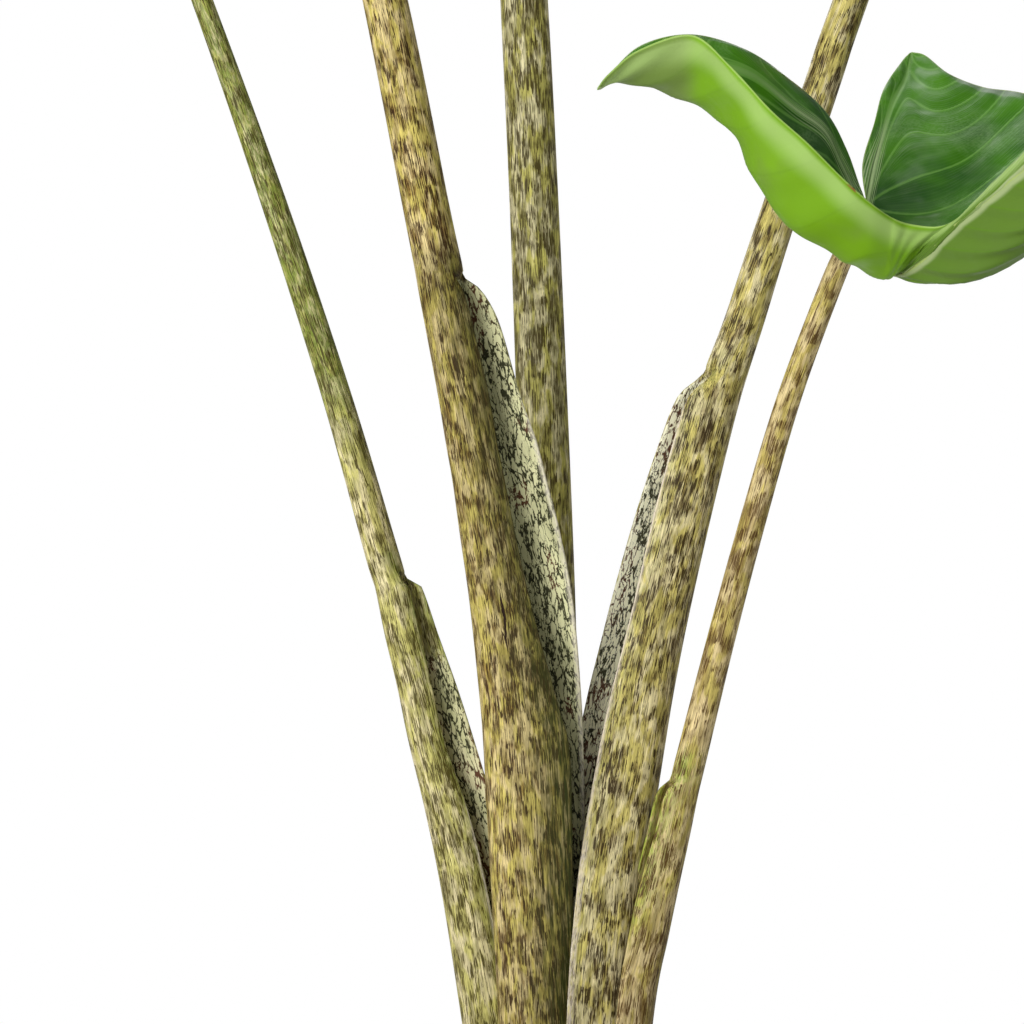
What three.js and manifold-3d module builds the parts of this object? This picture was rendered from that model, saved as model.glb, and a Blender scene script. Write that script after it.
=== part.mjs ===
// Potted stingray alocasia: five leaves, each a stalk with a blade, on a short stem in a potful of soil.
// Millimetres. The pot stands on z = 0 around the z axis. The plant is looked at along +y, with x to the right.
import * as THREE from 'three';
import Module from 'manifold-3d';

// Pot and soil
const POT_HEIGHT = 200;
const POT_FOOT_R = 86;
const POT_TOP_R = 116;
const POT_WALL = 2.6;
const POT_FLOOR = 4;
const RIM_HEIGHT = 16;
const RIM_OUT = 3.4;
const FOOT_LIFT = 3;
const FOOT_RING = 10;
const HUB_R = 26;
const DRAIN_R = 5;
const DRAIN_RING_R = 58;
const DRAIN_COUNT = 8;
const SOIL_TOP = 180;
const SOIL_CROWN = 4;
const ROUND = 64;

// Short stem that the leaves stand on
const STEM_R = 24;
const STEM_TOP = 187;
const STEM_BOTTOM = 142;
const STEM_X = 0.5;
const STEM_Y = 1;
const STEM_ROUND = 48;

// Clearances and thicknesses
const GAP = 0.35;
const SEAT = 0.8;
const BLADE_THICK = 0.9;
const RIB_DEPTH = 1.9;
const HEADROOM = 3;

// Stalk sections: points around the back and across the channel, where the wings start (degrees from the middle
// of the channel), how full the wings are, how deep the channel is (in radii), and the longest plain stretch
const BACK_POINTS = 14;
const CHANNEL_POINTS = 7;
const TIP_ANGLE = 42;
const WING_FULLNESS = 0.62;
const CHANNEL_DEPTH = -0.25;
const WING_EDGE = 0.9;
const LONG_STEP = 25;

// Blade sections, from the rib to the margin, and the steps that a broad blade's bend is summed over
const ACROSS = [0, 0.07, 0.3, 0.55, 0.8, 1];
const BEND_STEPS = 24;

// Corners closer than this are one corner, and a cut stalk loses faces flatter than the last of these
const WELD = 0.0005;
const FLATTEN = 0.006;

// Each stalk from its foot up: height, x, y, radius, open (1 where it is a channel), reach of the near wing and
// of the far wing, and how wide the near wing clasps (in radii, CLASP where not given). "side" is where the
// channel looks, "turn" how far it is turned out of the picture plane.
const CLASP = 0.62;
const FAR_CLASP = 0.58;
const STALKS = {
  stalk_1: { side: 1, turn: -12, rows: [
    [185, -13, 5, 7.6, 1, 7, 7], [231, -20, 5, 7.2, 1, 7.2, 9], [262, -25.5, 5, 6.6, 1, 7, 12],
    [284, -30.6, 6, 6, 1, 6.6, 12.7], [303, -35.6, 8, 5.6, 1, 5, 12.2], [318, -39, 9, 5.3, 1, 5, 10.8],
    [332, -42.5, 10.5, 5.2, 1, 5.2, 9.2], [346, -45.6, 12, 5, 1, 4.9, 7.3], [353, -48, 13, 4.9, 0, 4.6, 4.6],
    [398, -61, 18, 4.3, 0, 4, 4], [453, -79, 24, 3.75, 0, 3, 3], [509, -99, 31, 3.1, 0, 3, 3],
    [560, -119, 44, 2.9, 0, 3, 3], [612, -141, 64, 2.6, 0, 3, 3]] },
  stalk_2: { side: 1, turn: -14, rows: [
    [185, -3.5, -5, 11, 1, 11, 12], [231, -5.5, -5.5, 10.8, 1, 12, 13], [280, -9, -8, 10, 1, 15, 16],
    [303, -10.5, -9, 9.7, 1, 15.6, 17], [315, -11.7, -10, 9.4, 1, 13.6, 17.8],
    [342, -15.3, -12, 8.6, 1, 9.7, 19.3], [362, -18.6, -13, 8.1, 1, 8.4, 19],
    [376, -20.8, -14, 7.8, 1, 7.8, 17.6], [387, -23, -15, 7.5, 1, 7.8, 17], [401, -25.5, -16, 7.3, 1, 7.8, 14.6],
    [420, -29.4, -17.5, 6.9, 1, 7.3, 13], [429, -31.2, -18, 6.8, 1, 6.6, 10], [436, -32.5, -18, 6.7, 0, 6, 6],
    [453, -36, -19, 6.5, 0, 6, 6], [509, -47, -24, 6.25, 0, 6, 6], [600, -67, -40, 5.3, 0, 5, 5],
    [702, -92, -64, 4.3, 0, 5, 5]] },
  stalk_3: { side: 1, turn: 90, rows: [
    [185, -1, 11, 7.8, 0, 5, 5], [231, -0.8, 14.5, 7.6, 0, 5, 5], [296, -1.1, 18.5, 7.6, 0, 5, 5],
    [340, -1.9, 22, 7.5, 0, 5, 5], [396, -3.8, 28, 7.2, 0, 5, 5], [452, -6, 34, 6.9, 0, 5, 5],
    [509, -8.8, 40, 6.7, 0, 5, 5], [600, -14, 54, 5.8, 0, 5, 5], [700, -20, 74, 5, 0, 5, 5],
    [792, -27, 96, 4.2, 0, 5, 5]] },
  stalk_4: { side: -1, turn: -16, rows: [
    [185, 8, -6, 9.5, 1, 8, 8, 0.9], [231, 12, -8, 9.4, 1, 11.3, 11, 0.9],
    [260, 15.2, -6.5, 8.8, 1, 12, 12, 0.85], [278, 18, -4, 8.6, 1, 12.3, 14, 0.78],
    [298, 21.5, -1, 8.2, 1, 12, 15.4, 0.72], [315, 24.6, 2, 7.9, 1, 11.3, 15.2, 0.66],
    [331, 28, 5, 7.6, 1, 10.4, 14.6], [348, 32, 7.5, 7.3, 1, 10.2, 14.2], [367, 36.7, 10, 7, 1, 10.5, 13.4],
    [387, 42, 12.5, 6.6, 1, 10.3, 12], [399, 45.4, 14, 6.4, 1, 9.6, 10.4], [408, 48.4, 15, 6.2, 0, 6, 6],
    [420, 52.7, 17, 5.8, 0, 5, 5],
    [442, 59.8, 20, 5.5, 0, 5, 5], [486, 74.7, 27, 5.2, 0, 5, 5], [509, 82.6, 30, 5.1, 0, 5, 5],
    [600, 116, 38, 4.6, 0, 5, 5], [742, 170, 54, 3.8, 0, 4, 4]] },
  stalk_5: { side: -1, turn: -20, rows: [
    [185, 17, -10, 5.5, 1, 4.5, 4, 0.8], [231, 22, -12, 5.5, 1, 6.5, 5.5, 0.8],
    [250, 26, -11.5, 5.2, 1, 7.4, 6.5, 0.75], [264, 29.2, -11, 4.9, 1, 7.3, 7],
    [278, 32.5, -11, 4.6, 1, 6.4, 6.9], [290, 35, -11.5, 4.5, 1, 5.8, 6.5], [298, 37, -12, 4.4, 0, 4, 4],
    [333, 45.6, -14.5, 4, 0, 4, 4], [366, 54.3, -17.5, 3.75, 0, 4, 4], [400, 64.1, -21.5, 3.5, 0, 4, 4],
    [433, 76.1, -27, 3.3, 0, 3, 3], [445, 81.5, -31, 3.1, 0, 3, 3], [452.7, 84.9, -34, 2.7, 0, 3, 3]] },
};

// The low blade, as it hangs in the picture: rows of guide points in millimetres from the top of its stalk, from
// the tip of the hind lobe to the tip of the tail. Hind rows: sinus margin, rib, belly, outer margin.
const LOW_NEAR_LOBE = [
  [[-74.2, -25, 31.5], [-74.2, -25, 31.5], [-74.2, -25, 31.5], [-74.2, -25, 31.5]],
  [[-71, -14, 35], [-71, -18, 34.5], [-70, -25, 33.3], [-71, -32, 35.6]],
  [[-62, -8, 43.2], [-62, -13, 39], [-62, -26, 32.5], [-63, -40, 42]],
  [[-48, 0, 46.2], [-48, -10, 38.5], [-48, -28, 27.6], [-49, -48, 46]],
  [[-33, 4, 42], [-33, -8, 36], [-37.3, -30, 19.2], [-39, -54, 38]],
  [[-21, 8, 34], [-19.5, -6, 26], [-29.2, -38, 2.8], [-28, -60, 26]],
  [[-11, 8, 25], [-11.5, -2, 20], [-19.6, -38, -7.5], [-18, -62, 17]],
  [[-5.5, 6, 15], [-7, 0, 11], [-10.5, -36, -13], [-9, -62, 8]],
  [[-2, 2, 5], [-3, 0, 2.5], [-3, -34, -17], [-1, -60, 1]],
];
const LOW_FAR_LOBE = [
  [[15.2, 75, 41.3], [15.2, 75, 41.3], [15.2, 75, 41.3], [15.2, 75, 41.3]],
  [[12.4, 70, 38.6], [13, 62, 34], [16.5, 60, 34], [19, 68, 40.3]],
  [[6.6, 52, 31], [8.6, 44, 26.5], [18, 34, 23], [25, 54, 35.2]],
  [[3.2, 34, 21.5], [5.3, 28, 18], [20, 14, 13], [34, 46, 31.6]],
  [[-0.8, 14, 10.2], [2.4, 12, 9], [21.7, -2, 2], [42.5, 38, 30.4]],
];
// Body rows: belly and margin of the near half, midrib, belly and margin of the far half
const LOW_BODY = [
  [[3, -30, -19.5], [5, -56, -3], [0, 0, -1], [21.7, -18, -6], [53, 22, 28]],
  [[6.5, -35, -18], [10.5, -54, -4.7], [3.6, -12, -13], [25, -34, -10], [62, 0, 26]],
  [[10.5, -42, -14], [17.5, -56, -5], [6.4, -25, -18.7], [30.5, -50, -12.6], [67, -25, 25]],
  [[16, -55, -10], [23, -62, -2], [12.5, -45, -15], [36.5, -68, -13.9], [71, -52, 25]],
  [[23, -68, -3], [30, -72, 6], [20, -62, -6], [42, -86, -7.5], [74, -80, 27]],
  [[33, -84, 7], [38, -86, 15], [30.5, -80, 4], [48, -102, 1], [76, -105, 30]],
  [[45, -102, 19], [48, -102, 26], [43.6, -100, 16], [56, -115, 11], [78, -125, 34]],
  [[61, -119, 29], [63, -119, 33], [60, -118, 27], [66, -122, 25], [80, -134, 40]],
  [[78.5, -134, 39.5], [80, -134, 41], [78, -134, 38], [79, -135, 38], [84, -139, 45]],
  [[96, -148, 50], [96, -148, 50], [96, -148, 50], [96, -148, 50], [96, -148, 50]],
];

// A broad blade laid flat, x toward the tail and y to one side: sinus margin, rib, outer margin
const FLAT_LOBE = [
  [[-95, 60], [-95, 60], [-95, 60]],
  [[-91, 49], [-87, 54], [-93, 71]],
  [[-73, 36], [-66, 42], [-78, 88]],
  [[-48, 23], [-42, 27], [-53, 99]],
  [[-22, 10], [-18, 13], [-24, 104]],
];
// Rib and outer margin of the body and the tail
const FLAT_BODY = [
  [[0, 0], [8, 102]], [[25, 0], [42, 92]], [[50, 0], [76, 77]], [[80, 0], [108, 60]], [[110, 0], [137, 43]],
  [[140, 0], [162, 27]], [[165, 0], [181, 15]], [[190, 0], [200, 9]], [[225, 0], [231, 6.5]],
  [[265, 0], [269, 4.5]], [[300, 0], [300, 0]],
];
// How each broad blade is held: size, compass of the tail, pitch and roll (degrees), lift of the hind lobes,
// droop along the body, upturn and twist of the tail, cup and curl of the two halves, wave of the margin (mm)
const BROAD = {
  blade_1: { on: 'stalk_1', size: 0.78, yaw: 158, pitch: -14, roll: 8, lift: 62, droop: 34, tail: 30, twist: 30,
    cup: [26, 22], curl: [48, 58], wave: 3.2 },
  blade_2: { on: 'stalk_2', size: 0.98, yaw: 232, pitch: -20, roll: -6, lift: 56, droop: 38, tail: 44, twist: -35,
    cup: [22, 27], curl: [52, 44], wave: 4 },
  blade_3: { on: 'stalk_3', size: 1.02, yaw: 62, pitch: -10, roll: 5, lift: 60, droop: 42, tail: 36, twist: 40,
    cup: [26, 24], curl: [46, 56], wave: 4 },
  blade_4: { on: 'stalk_4', size: 0.92, yaw: -18, pitch: -18, roll: -8, lift: 58, droop: 36, tail: 40, twist: -30,
    cup: [24, 28], curl: [54, 46], wave: 3.6 },
};

const FINISHES = {
  pot: { color: 0x2a2b2a, roughness: 0.6, metalness: 0 },
  soil: { color: 0x3a2a20, roughness: 1, metalness: 0 },
  stem_base: { color: 0x6b5a3e, roughness: 0.8, metalness: 0 },
  stalk: { color: 0xb3a672, roughness: 0.5, metalness: 0 },
  stalk_1: { color: 0x9aa055, roughness: 0.5, metalness: 0 },
  stalk_3: { color: 0x96956e, roughness: 0.5, metalness: 0 },
  blade: { color: 0x2f6d1d, roughness: 0.4, metalness: 0 },
};

const wasm = await Module();
wasm.setup();
const rad = (deg) => deg * Math.PI / 180;
const lerp = (a, b, t) => a + (b - a) * t;
const ease = (t) => {
  const c = Math.min(1, Math.max(0, t));
  return c * c * (3 - 2 * c);
};
const mix = (a, b, t) => a.map((v, i) => lerp(v, b[i], t));

/** Point at u (0 to n - 1) on the smooth curve through the points. */
function along(points, u) {
  const last = points.length - 1;
  const i = Math.min(last - 1, Math.max(0, Math.floor(u)));
  const f = u - i;
  const b = points[i];
  const c = points[i + 1];
  const a = i > 0 ? points[i - 1] : b.map((v, k) => 2 * v - c[k]);
  const d = i + 2 <= last ? points[i + 2] : c.map((v, k) => 2 * v - b[k]);
  return b.map((v, k) => 0.5 * (2 * v + (c[k] - a[k]) * f + (2 * a[k] - 5 * v + 4 * c[k] - d[k]) * f * f
    + (3 * v - a[k] - 3 * c[k] + d[k]) * f * f * f));
}

/** Name of the corner that a point belongs to. */
function corner(point) {
  return point.map((v) => Math.round(v / WELD)).join(' ');
}

/** Mesh data with equal corners joined and collapsed triangles left out. */
function weld(points, faces) {
  const seen = new Map();
  const verts = [];
  const index = points.map((p) => {
    const key = corner(p);
    if (!seen.has(key)) {
      seen.set(key, verts.length);
      verts.push(p);
    }
    return seen.get(key);
  });
  const tris = faces.map((f) => f.map((i) => index[i]))
    .filter(([a, b, c]) => a !== b && b !== c && c !== a);
  return { verts, tris };
}

/** Solid of the mesh data. */
function solid({ verts, tris }) {
  const mesh = new wasm.Mesh({
    numProp: 3,
    vertProperties: new Float32Array(verts.flat()),
    triVerts: new Uint32Array(tris.flat()),
  });
  return new wasm.Manifold(mesh);
}

/** The largest of the bodies that a cut has left. */
function largest(body) {
  const parts = body.decompose();
  return parts.reduce((a, b) => (b.volume() > a.volume() ? b : a));
}

/** Named mesh of a solid, with its finish. */
function meshOf(name, body, finish) {
  const data = body.getMesh();
  const geometry = new THREE.BufferGeometry();
  geometry.setAttribute('position', new THREE.BufferAttribute(new Float32Array(data.vertProperties), 3));
  geometry.setIndex(new THREE.BufferAttribute(new Uint32Array(data.triVerts), 1));
  geometry.computeVertexNormals();
  const mesh = new THREE.Mesh(geometry, new THREE.MeshStandardMaterial(finish));
  mesh.name = name;
  return mesh;
}

/** Solid of revolution from a closed profile of [radius, height], run counter-clockwise. */
function turned(profile, segments, x = 0, y = 0) {
  const points = [];
  const faces = [];
  const n = profile.length;
  for (let s = 0; s < segments; s += 1) {
    const a = 2 * Math.PI * s / segments;
    profile.forEach(([r, z]) => points.push([x + r * Math.cos(a), y + r * Math.sin(a), z]));
  }
  for (let s = 0; s < segments; s += 1) {
    for (let i = 0; i < n; i += 1) {
      const p = s * n + i;
      const q = s * n + (i + 1) % n;
      const r = ((s + 1) % segments) * n + i;
      const t = ((s + 1) % segments) * n + (i + 1) % n;
      faces.push([p, r, t], [p, t, q]);
    }
  }
  return solid(weld(points, faces));
}

/** Section of a stalk, in plan, around its own centre. */
function stalkSection([, , , r, open, near, far, clasp], turn, side) {
  const o = ease(open);
  const tip = rad(TIP_ANGLE);
  const bottom = lerp(1, CHANNEL_DEPTH, o);
  const nearY = -clasp * r;
  const farY = FAR_CLASP * r;
  const points = [];
  for (let i = 0; i < BACK_POINTS; i += 1) {
    const a = lerp(tip, 2 * Math.PI - tip, i / (BACK_POINTS - 1));
    const round = [r * Math.cos(a), r * Math.sin(a)];
    let wing = round;
    if (Math.abs(a - Math.PI) > Math.PI / 2) {
      const back = a < Math.PI;
      const end = back ? [far, farY] : [near, nearY];
      const k = (back ? Math.PI / 2 - a : a - 1.5 * Math.PI) / (Math.PI / 2 - tip);
      const y = back ? r : -r;
      wing = [(2 * k * (1 - k) * WING_FULLNESS + k * k) * end[0], (1 - k * k) * y + k * k * end[1]];
    }
    points.push(mix(round, wing, o));
  }
  const channel = [[near - 0.2, nearY + WING_EDGE], [0.35 * near, -0.66 * r], [bottom * r, 0],
    [0.3 * far, 0.62 * r], [far - 0.2, farY - WING_EDGE]];
  for (let i = 0; i < CHANNEL_POINTS; i += 1) {
    const a = lerp(-tip, tip, (i + 0.5) / CHANNEL_POINTS);
    points.push(mix([r * Math.cos(a), r * Math.sin(a)], along(channel, 4 * i / (CHANNEL_POINTS - 1)), o));
  }
  const c = Math.cos(rad(turn));
  const s = Math.sin(rad(turn));
  return points.map(([x, y]) => [side * (x * c - y * s), x * s + y * c]);
}

/** Stalk as a solid, run through its sections. */
function stalkSolid({ side, turn, rows }) {
  const full = rows.map((row) => (row.length < 8 ? [...row, CLASP] : row));
  const stations = [];
  full.forEach((row, i) => {
    stations.push(row);
    if (i + 1 < full.length && full[i + 1][0] - row[0] > LONG_STEP) {
      const half = along(full, i + 0.5);
      half[4] = (row[4] + full[i + 1][4]) / 2;
      stations.push(half);
    }
  });
  const n = BACK_POINTS + CHANNEL_POINTS;
  const points = [];
  const faces = [];
  stations.forEach((row) => {
    stalkSection(row, turn, side).forEach(([x, y]) => points.push([row[1] + x, row[2] + y, row[0]]));
  });
  for (let k = 0; k + 1 < stations.length; k += 1) {
    for (let i = 0; i < n; i += 1) {
      const p = k * n + i;
      const q = k * n + (i + 1) % n;
      faces.push([p, q, q + n], [p, q + n, p + n]);
    }
  }
  if (side < 0) faces.forEach((f) => f.reverse());
  const capOf = (row) => THREE.ShapeUtils.triangulateShape(
    stalkSection(row, turn, side).map(([x, y]) => new THREE.Vector2(x, y)), []);
  const top = (stations.length - 1) * n;
  capOf(stations[0]).forEach(([a, b, c]) => faces.push([c, b, a]));
  capOf(stations[stations.length - 1]).forEach(([a, b, c]) => faces.push([top + a, top + b, top + c]));
  return solid(weld(points, faces));
}

/** Point across a blade, from the rib (0) over the belly (0.5) to the margin (1). */
function across([rib, belly, margin], v) {
  return rib.map((p, k) => p * (1 - v) * (1 - 2 * v) + belly[k] * 4 * v * (1 - v) + margin[k] * v * (2 * v - 1));
}

/** Blade as a solid from guide rows: each half has hind rows of 4 points and body rows of rib, belly, margin. */
function bladeSolid(halves, origin, up = 0, down = BLADE_THICK) {
  const points = [];
  const faces = [];
  const deep = [];
  halves.forEach(({ lobe, body, flip }) => {
    const nose = lobe.length;
    const costa = [...lobe.map((row) => row[1]), body[0][0]];
    const sinus = [...lobe.map((row) => row[0]), body[0][0]];
    const midrib = body.map((row) => row[0]);
    const belly = [...lobe.map((row) => row[2]), ...body.map((row) => row[1])];
    const margin = [...lobe.map((row) => row[3]), ...body.map((row) => row[2])];
    const steps = 2 * (belly.length - 1);
    const width = ACROSS.length;
    const start = points.length;
    for (let i = 0; i <= steps; i += 1) {
      const u = i / 2;
      const rib = u <= nose ? along(costa, u) : along(midrib, u - nose);
      const section = [rib, along(belly, u), along(margin, u)];
      const taper = u <= nose ? 0.3 + 0.7 * u / nose : 1 - 0.85 * (u - nose) / (body.length - 1);
      ACROSS.forEach((v, j) => {
        points.push(across(section, v));
        deep.push(j === 0 ? RIB_DEPTH * taper : 0);
      });
    }
    const quad = (a, b, c, d) => {
      const pair = [[a, b, c], [a, c, d]];
      if (flip) pair.forEach((f) => f.reverse());
      faces.push(...pair);
    };
    for (let i = 0; i < steps; i += 1) {
      for (let j = 0; j + 1 < width; j += 1) {
        const p = start + i * width + j;
        quad(p, p + width, p + width + 1, p + 1);
      }
    }
    const strip = points.length;
    for (let i = 0; i <= 2 * nose; i += 1) {
      const rib = along(costa, i / 2);
      const edge = along(sinus, i / 2);
      [0, 0.5, 1].forEach((w, j) => {
        points.push(mix(rib, edge, w));
        deep.push(j === 0 ? RIB_DEPTH * (0.3 + 0.35 * i / nose) : 0);
      });
    }
    for (let i = 0; i < 2 * nose; i += 1) {
      for (let j = 0; j < 2; j += 1) {
        const p = strip + i * 3 + j;
        quad(p, p + 1, p + 4, p + 3);
      }
    }
  });
  return thickened(points, faces, deep, origin, up, down);
}

/** Closed sheet: the given face, a face set below it along the normals, and the wall around the free edge. */
function thickened(points, faces, deep, origin, up, down) {
  const { verts, tris } = weld(points, faces);
  const depth = new Map();
  points.forEach((p, i) => {
    depth.set(corner(p), Math.max(depth.get(corner(p)) ?? 0, deep[i]));
  });
  const normals = verts.map(() => new THREE.Vector3());
  tris.forEach((t) => {
    const [a, b, c] = t.map((i) => new THREE.Vector3(...verts[i]));
    const n = b.sub(a).cross(c.sub(a));
    t.forEach((i) => normals[i].add(n));
  });
  const n = verts.length;
  const place = (p, normal, d) => [0, 1, 2].map((k) => p[k] + origin[k] + normal.getComponent(k) * d);
  normals.forEach((v) => v.normalize());
  const upper = verts.map((p, i) => place(p, normals[i], up));
  const lower = verts.map((p, i) => place(p, normals[i], -down - depth.get(corner(p))));
  const all = [...tris, ...tris.map(([a, b, c]) => [a + n, c + n, b + n])];
  const edges = new Set(tris.flatMap(([a, b, c]) => [`${a} ${b}`, `${b} ${c}`, `${c} ${a}`]));
  edges.forEach((e) => {
    const [a, b] = e.split(' ').map(Number);
    if (!edges.has(`${b} ${a}`)) all.push([a, a + n, b + n], [a, b + n, b]);
  });
  return solid({ verts: [...upper, ...lower], tris: all });
}

/** Guide rows of a broad blade: cupped, curled, bent along its length, then turned as it is held. */
function broadHalves({ size, yaw, pitch, roll, lift, droop, tail, twist, cup, curl, wave }) {
  const rise = (x) => (x < 0 ? -rad(lift) * ease(-x / 105)
    : -rad(droop) * ease(x / 190) + rad(tail) * ease((x - 170) / 130));
  const axis = (x) => {
    const step = x / BEND_STEPS;
    let ax = 0;
    let az = 0;
    for (let i = 0; i < BEND_STEPS; i += 1) {
      const t = rise(step * (i + 0.5));
      ax += Math.cos(t) * step;
      az += Math.sin(t) * step;
    }
    return [ax, az];
  };
  const turn = new THREE.Matrix4().makeRotationZ(rad(yaw))
    .multiply(new THREE.Matrix4().makeRotationY(rad(-pitch)))
    .multiply(new THREE.Matrix4().makeRotationX(rad(roll)));
  const held = (x, y, z) => {
    const w = rad(twist) * ease((x - 120) / 180);
    const [ax, az] = axis(x);
    const t = rise(x);
    const ty = y * Math.cos(w) - z * Math.sin(w);
    const tz = y * Math.sin(w) + z * Math.cos(w);
    return new THREE.Vector3((ax - tz * Math.sin(t)) * size, ty * size, (az + tz * Math.cos(t)) * size)
      .applyMatrix4(turn).toArray();
  };
  return [1, -1].map((hand, h) => {
    const row = (rib, edge, k) => {
      const dx = edge[0] - rib[0];
      const dy = edge[1] - rib[1];
      const w = Math.hypot(dx, dy);
      const slim = Math.min(1, w / 60);
      const a = rad(lerp(48, cup[h], slim));
      const c = rad(curl[h]) * slim + 0.02;
      return [0, 0.5, 1].map((v) => {
        const out = w > 0 ? (Math.sin(a + c * v) - Math.sin(a)) / c : 0;
        const high = w > 0 ? w * (Math.cos(a) - Math.cos(a + c * v)) / c : 0;
        const ripple = wave * v * v * slim * Math.sin(1.9 * k + 2.2 * h);
        return held(rib[0] + dx * out, hand * (rib[1] + dy * out), high + ripple);
      });
    };
    const lobe = FLAT_LOBE.map(([sinus, rib, edge], k) => {
      const w = Math.hypot(sinus[0] - rib[0], sinus[1] - rib[1]);
      const inner = mix(rib, sinus, 0.85);
      return [held(inner[0], hand * inner[1], 0.5 * w), ...row(rib, edge, k)];
    });
    lobe[0] = lobe[0].map(() => lobe[0][1]);
    const body = FLAT_BODY.map(([rib, edge], k) => row(rib, edge, k + FLAT_LOBE.length));
    return { lobe, body, flip: hand < 0 };
  });
}

const lowHalves = [
  { lobe: LOW_FAR_LOBE, body: LOW_BODY.map((r) => [r[2], r[3], r[4]]), flip: false },
  { lobe: LOW_NEAR_LOBE, body: LOW_BODY.map((r) => [r[2], r[0], r[1]]), flip: true },
];

/** Top of a stalk, where the ribs of its blade meet. */
function stalkTop(name) {
  const rows = STALKS[name].rows;
  const [z, x, y] = rows[rows.length - 1];
  return [x, y, z + SEAT];
}

const blades = { blade_5: { on: 'stalk_5', halves: lowHalves } };
Object.entries(BROAD).forEach(([name, spec]) => {
  blades[name] = { on: spec.on, halves: broadHalves(spec) };
});

const group = new THREE.Group();
group.name = 'potted_alocasia';

// Pot: tapered wall with a band at the top, open above. It stands on a ring and a hub, with drain holes between
const slope = (POT_TOP_R - POT_FOOT_R) / POT_HEIGHT;
const outer = (z) => POT_FOOT_R + slope * z;
const potProfile = [
  [0, 0], [HUB_R, 0], [HUB_R + 2, FOOT_LIFT], [POT_FOOT_R - FOOT_RING - 2, FOOT_LIFT],
  [POT_FOOT_R - FOOT_RING, 0], [POT_FOOT_R - 1.5, 0], [POT_FOOT_R, 1.5],
  [outer(POT_HEIGHT - RIM_HEIGHT - 1), POT_HEIGHT - RIM_HEIGHT - 1],
  [outer(POT_HEIGHT - RIM_HEIGHT) + RIM_OUT, POT_HEIGHT - RIM_HEIGHT + 1],
  [POT_TOP_R + RIM_OUT, POT_HEIGHT - 1.2], [POT_TOP_R + RIM_OUT - 1.2, POT_HEIGHT],
  [POT_TOP_R - POT_WALL + 1, POT_HEIGHT], [POT_TOP_R - POT_WALL, POT_HEIGHT - 1],
  [outer(FOOT_LIFT + POT_FLOOR) - POT_WALL, FOOT_LIFT + POT_FLOOR], [0, FOOT_LIFT + POT_FLOOR],
];
let pot = turned(potProfile, ROUND);
for (let i = 0; i < DRAIN_COUNT; i += 1) {
  const a = 2 * Math.PI * i / DRAIN_COUNT;
  const hole = turned([[0, -1], [DRAIN_R, -1], [DRAIN_R, 20], [0, 20]], 12, DRAIN_RING_R * Math.cos(a),
    DRAIN_RING_R * Math.sin(a));
  pot = pot.subtract(hole);
}
group.add(meshOf('pot', pot, FINISHES.pot));

// Soil: fills the pot to a slightly crowned top, with a blind hole for the stem
const soilFloor = FOOT_LIFT + POT_FLOOR + GAP;
const inner = (z) => outer(z) - POT_WALL - GAP;
const soilTop = (r) => SOIL_TOP + SOIL_CROWN * (1 - (r / POT_TOP_R) ** 2) - SOIL_CROWN * 0.5;
const soilBody = turned([
  [0, soilFloor], [inner(soilFloor), soilFloor], [inner(SOIL_TOP - 4), SOIL_TOP - 4],
  [inner(SOIL_TOP - 4) - 2, SOIL_TOP - 2.2], [86, soilTop(86)], [60, soilTop(60)], [STEM_R + 4, soilTop(STEM_R)],
  [0, soilTop(0)],
], ROUND);
const stemHole = turned([[0, STEM_BOTTOM - GAP], [STEM_R + GAP, STEM_BOTTOM - GAP], [STEM_R + GAP, POT_HEIGHT],
  [0, POT_HEIGHT]], STEM_ROUND, STEM_X, STEM_Y);
group.add(meshOf('soil', soilBody.subtract(stemHole), FINISHES.soil));

// Stem: a stub with the scars of older leaves round it
const stemProfile = [[0, STEM_BOTTOM], [STEM_R - 3, STEM_BOTTOM], [STEM_R, STEM_BOTTOM + 3], [STEM_R, SOIL_TOP],
  [STEM_R - 1.2, SOIL_TOP + 1.5], [STEM_R - 0.3, SOIL_TOP + 2.6], [STEM_R - 0.3, SOIL_TOP + 4],
  [STEM_R - 1.8, SOIL_TOP + 5], [STEM_R - 1.2, SOIL_TOP + 6], [STEM_R - 2, STEM_TOP], [0, STEM_TOP]];
const stem = turned(stemProfile, STEM_ROUND, STEM_X, STEM_Y);
group.add(meshOf('stem_base', stem, FINISHES.stem_base));

// Stalks: each gives way to the ones it clasps, stands on the stem and ends under its blade
const stemLid = turned([[0, 100], [60, 100], [60, STEM_TOP + GAP], [0, STEM_TOP + GAP]], 24);
const sideways = [[0, 0, 0], [1, 0, 0], [-1, 0, 0], [0, 1, 0], [0, -1, 0]];
const whole = {};
Object.entries(STALKS).forEach(([name, spec]) => {
  whole[name] = stalkSolid(spec);
});
const givesWay = {
  stalk_2: [], stalk_3: ['stalk_2'], stalk_4: ['stalk_2', 'stalk_3'], stalk_1: ['stalk_2', 'stalk_3', 'stalk_4'],
  stalk_5: ['stalk_2', 'stalk_3', 'stalk_4', 'stalk_1'],
};
Object.entries(givesWay).forEach(([name, others]) => {
  let body = whole[name].subtract(stemLid);
  others.forEach((other) => {
    sideways.forEach((way) => {
      body = body.subtract(whole[other].translate(way.map((v) => v * GAP)));
    });
  });
  const blade = Object.values(blades).find((b) => b.on === name);
  const foot = stalkTop(name);
  body = body.subtract(bladeSolid(blade.halves, foot, GAP + HEADROOM, BLADE_THICK + GAP));
  // A little more room on all sides than the blade takes, down the stalk most of all
  [...sideways, [0, 0, 1], [0, 0, -1], [0, 0, -2]].forEach((way) => {
    body = body.subtract(bladeSolid(blade.halves, foot.map((v, k) => v + GAP * way[k])));
  });
  body = largest(largest(body).simplify(FLATTEN));
  group.add(meshOf(name, body, FINISHES[name] ?? FINISHES.stalk));
});

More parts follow.
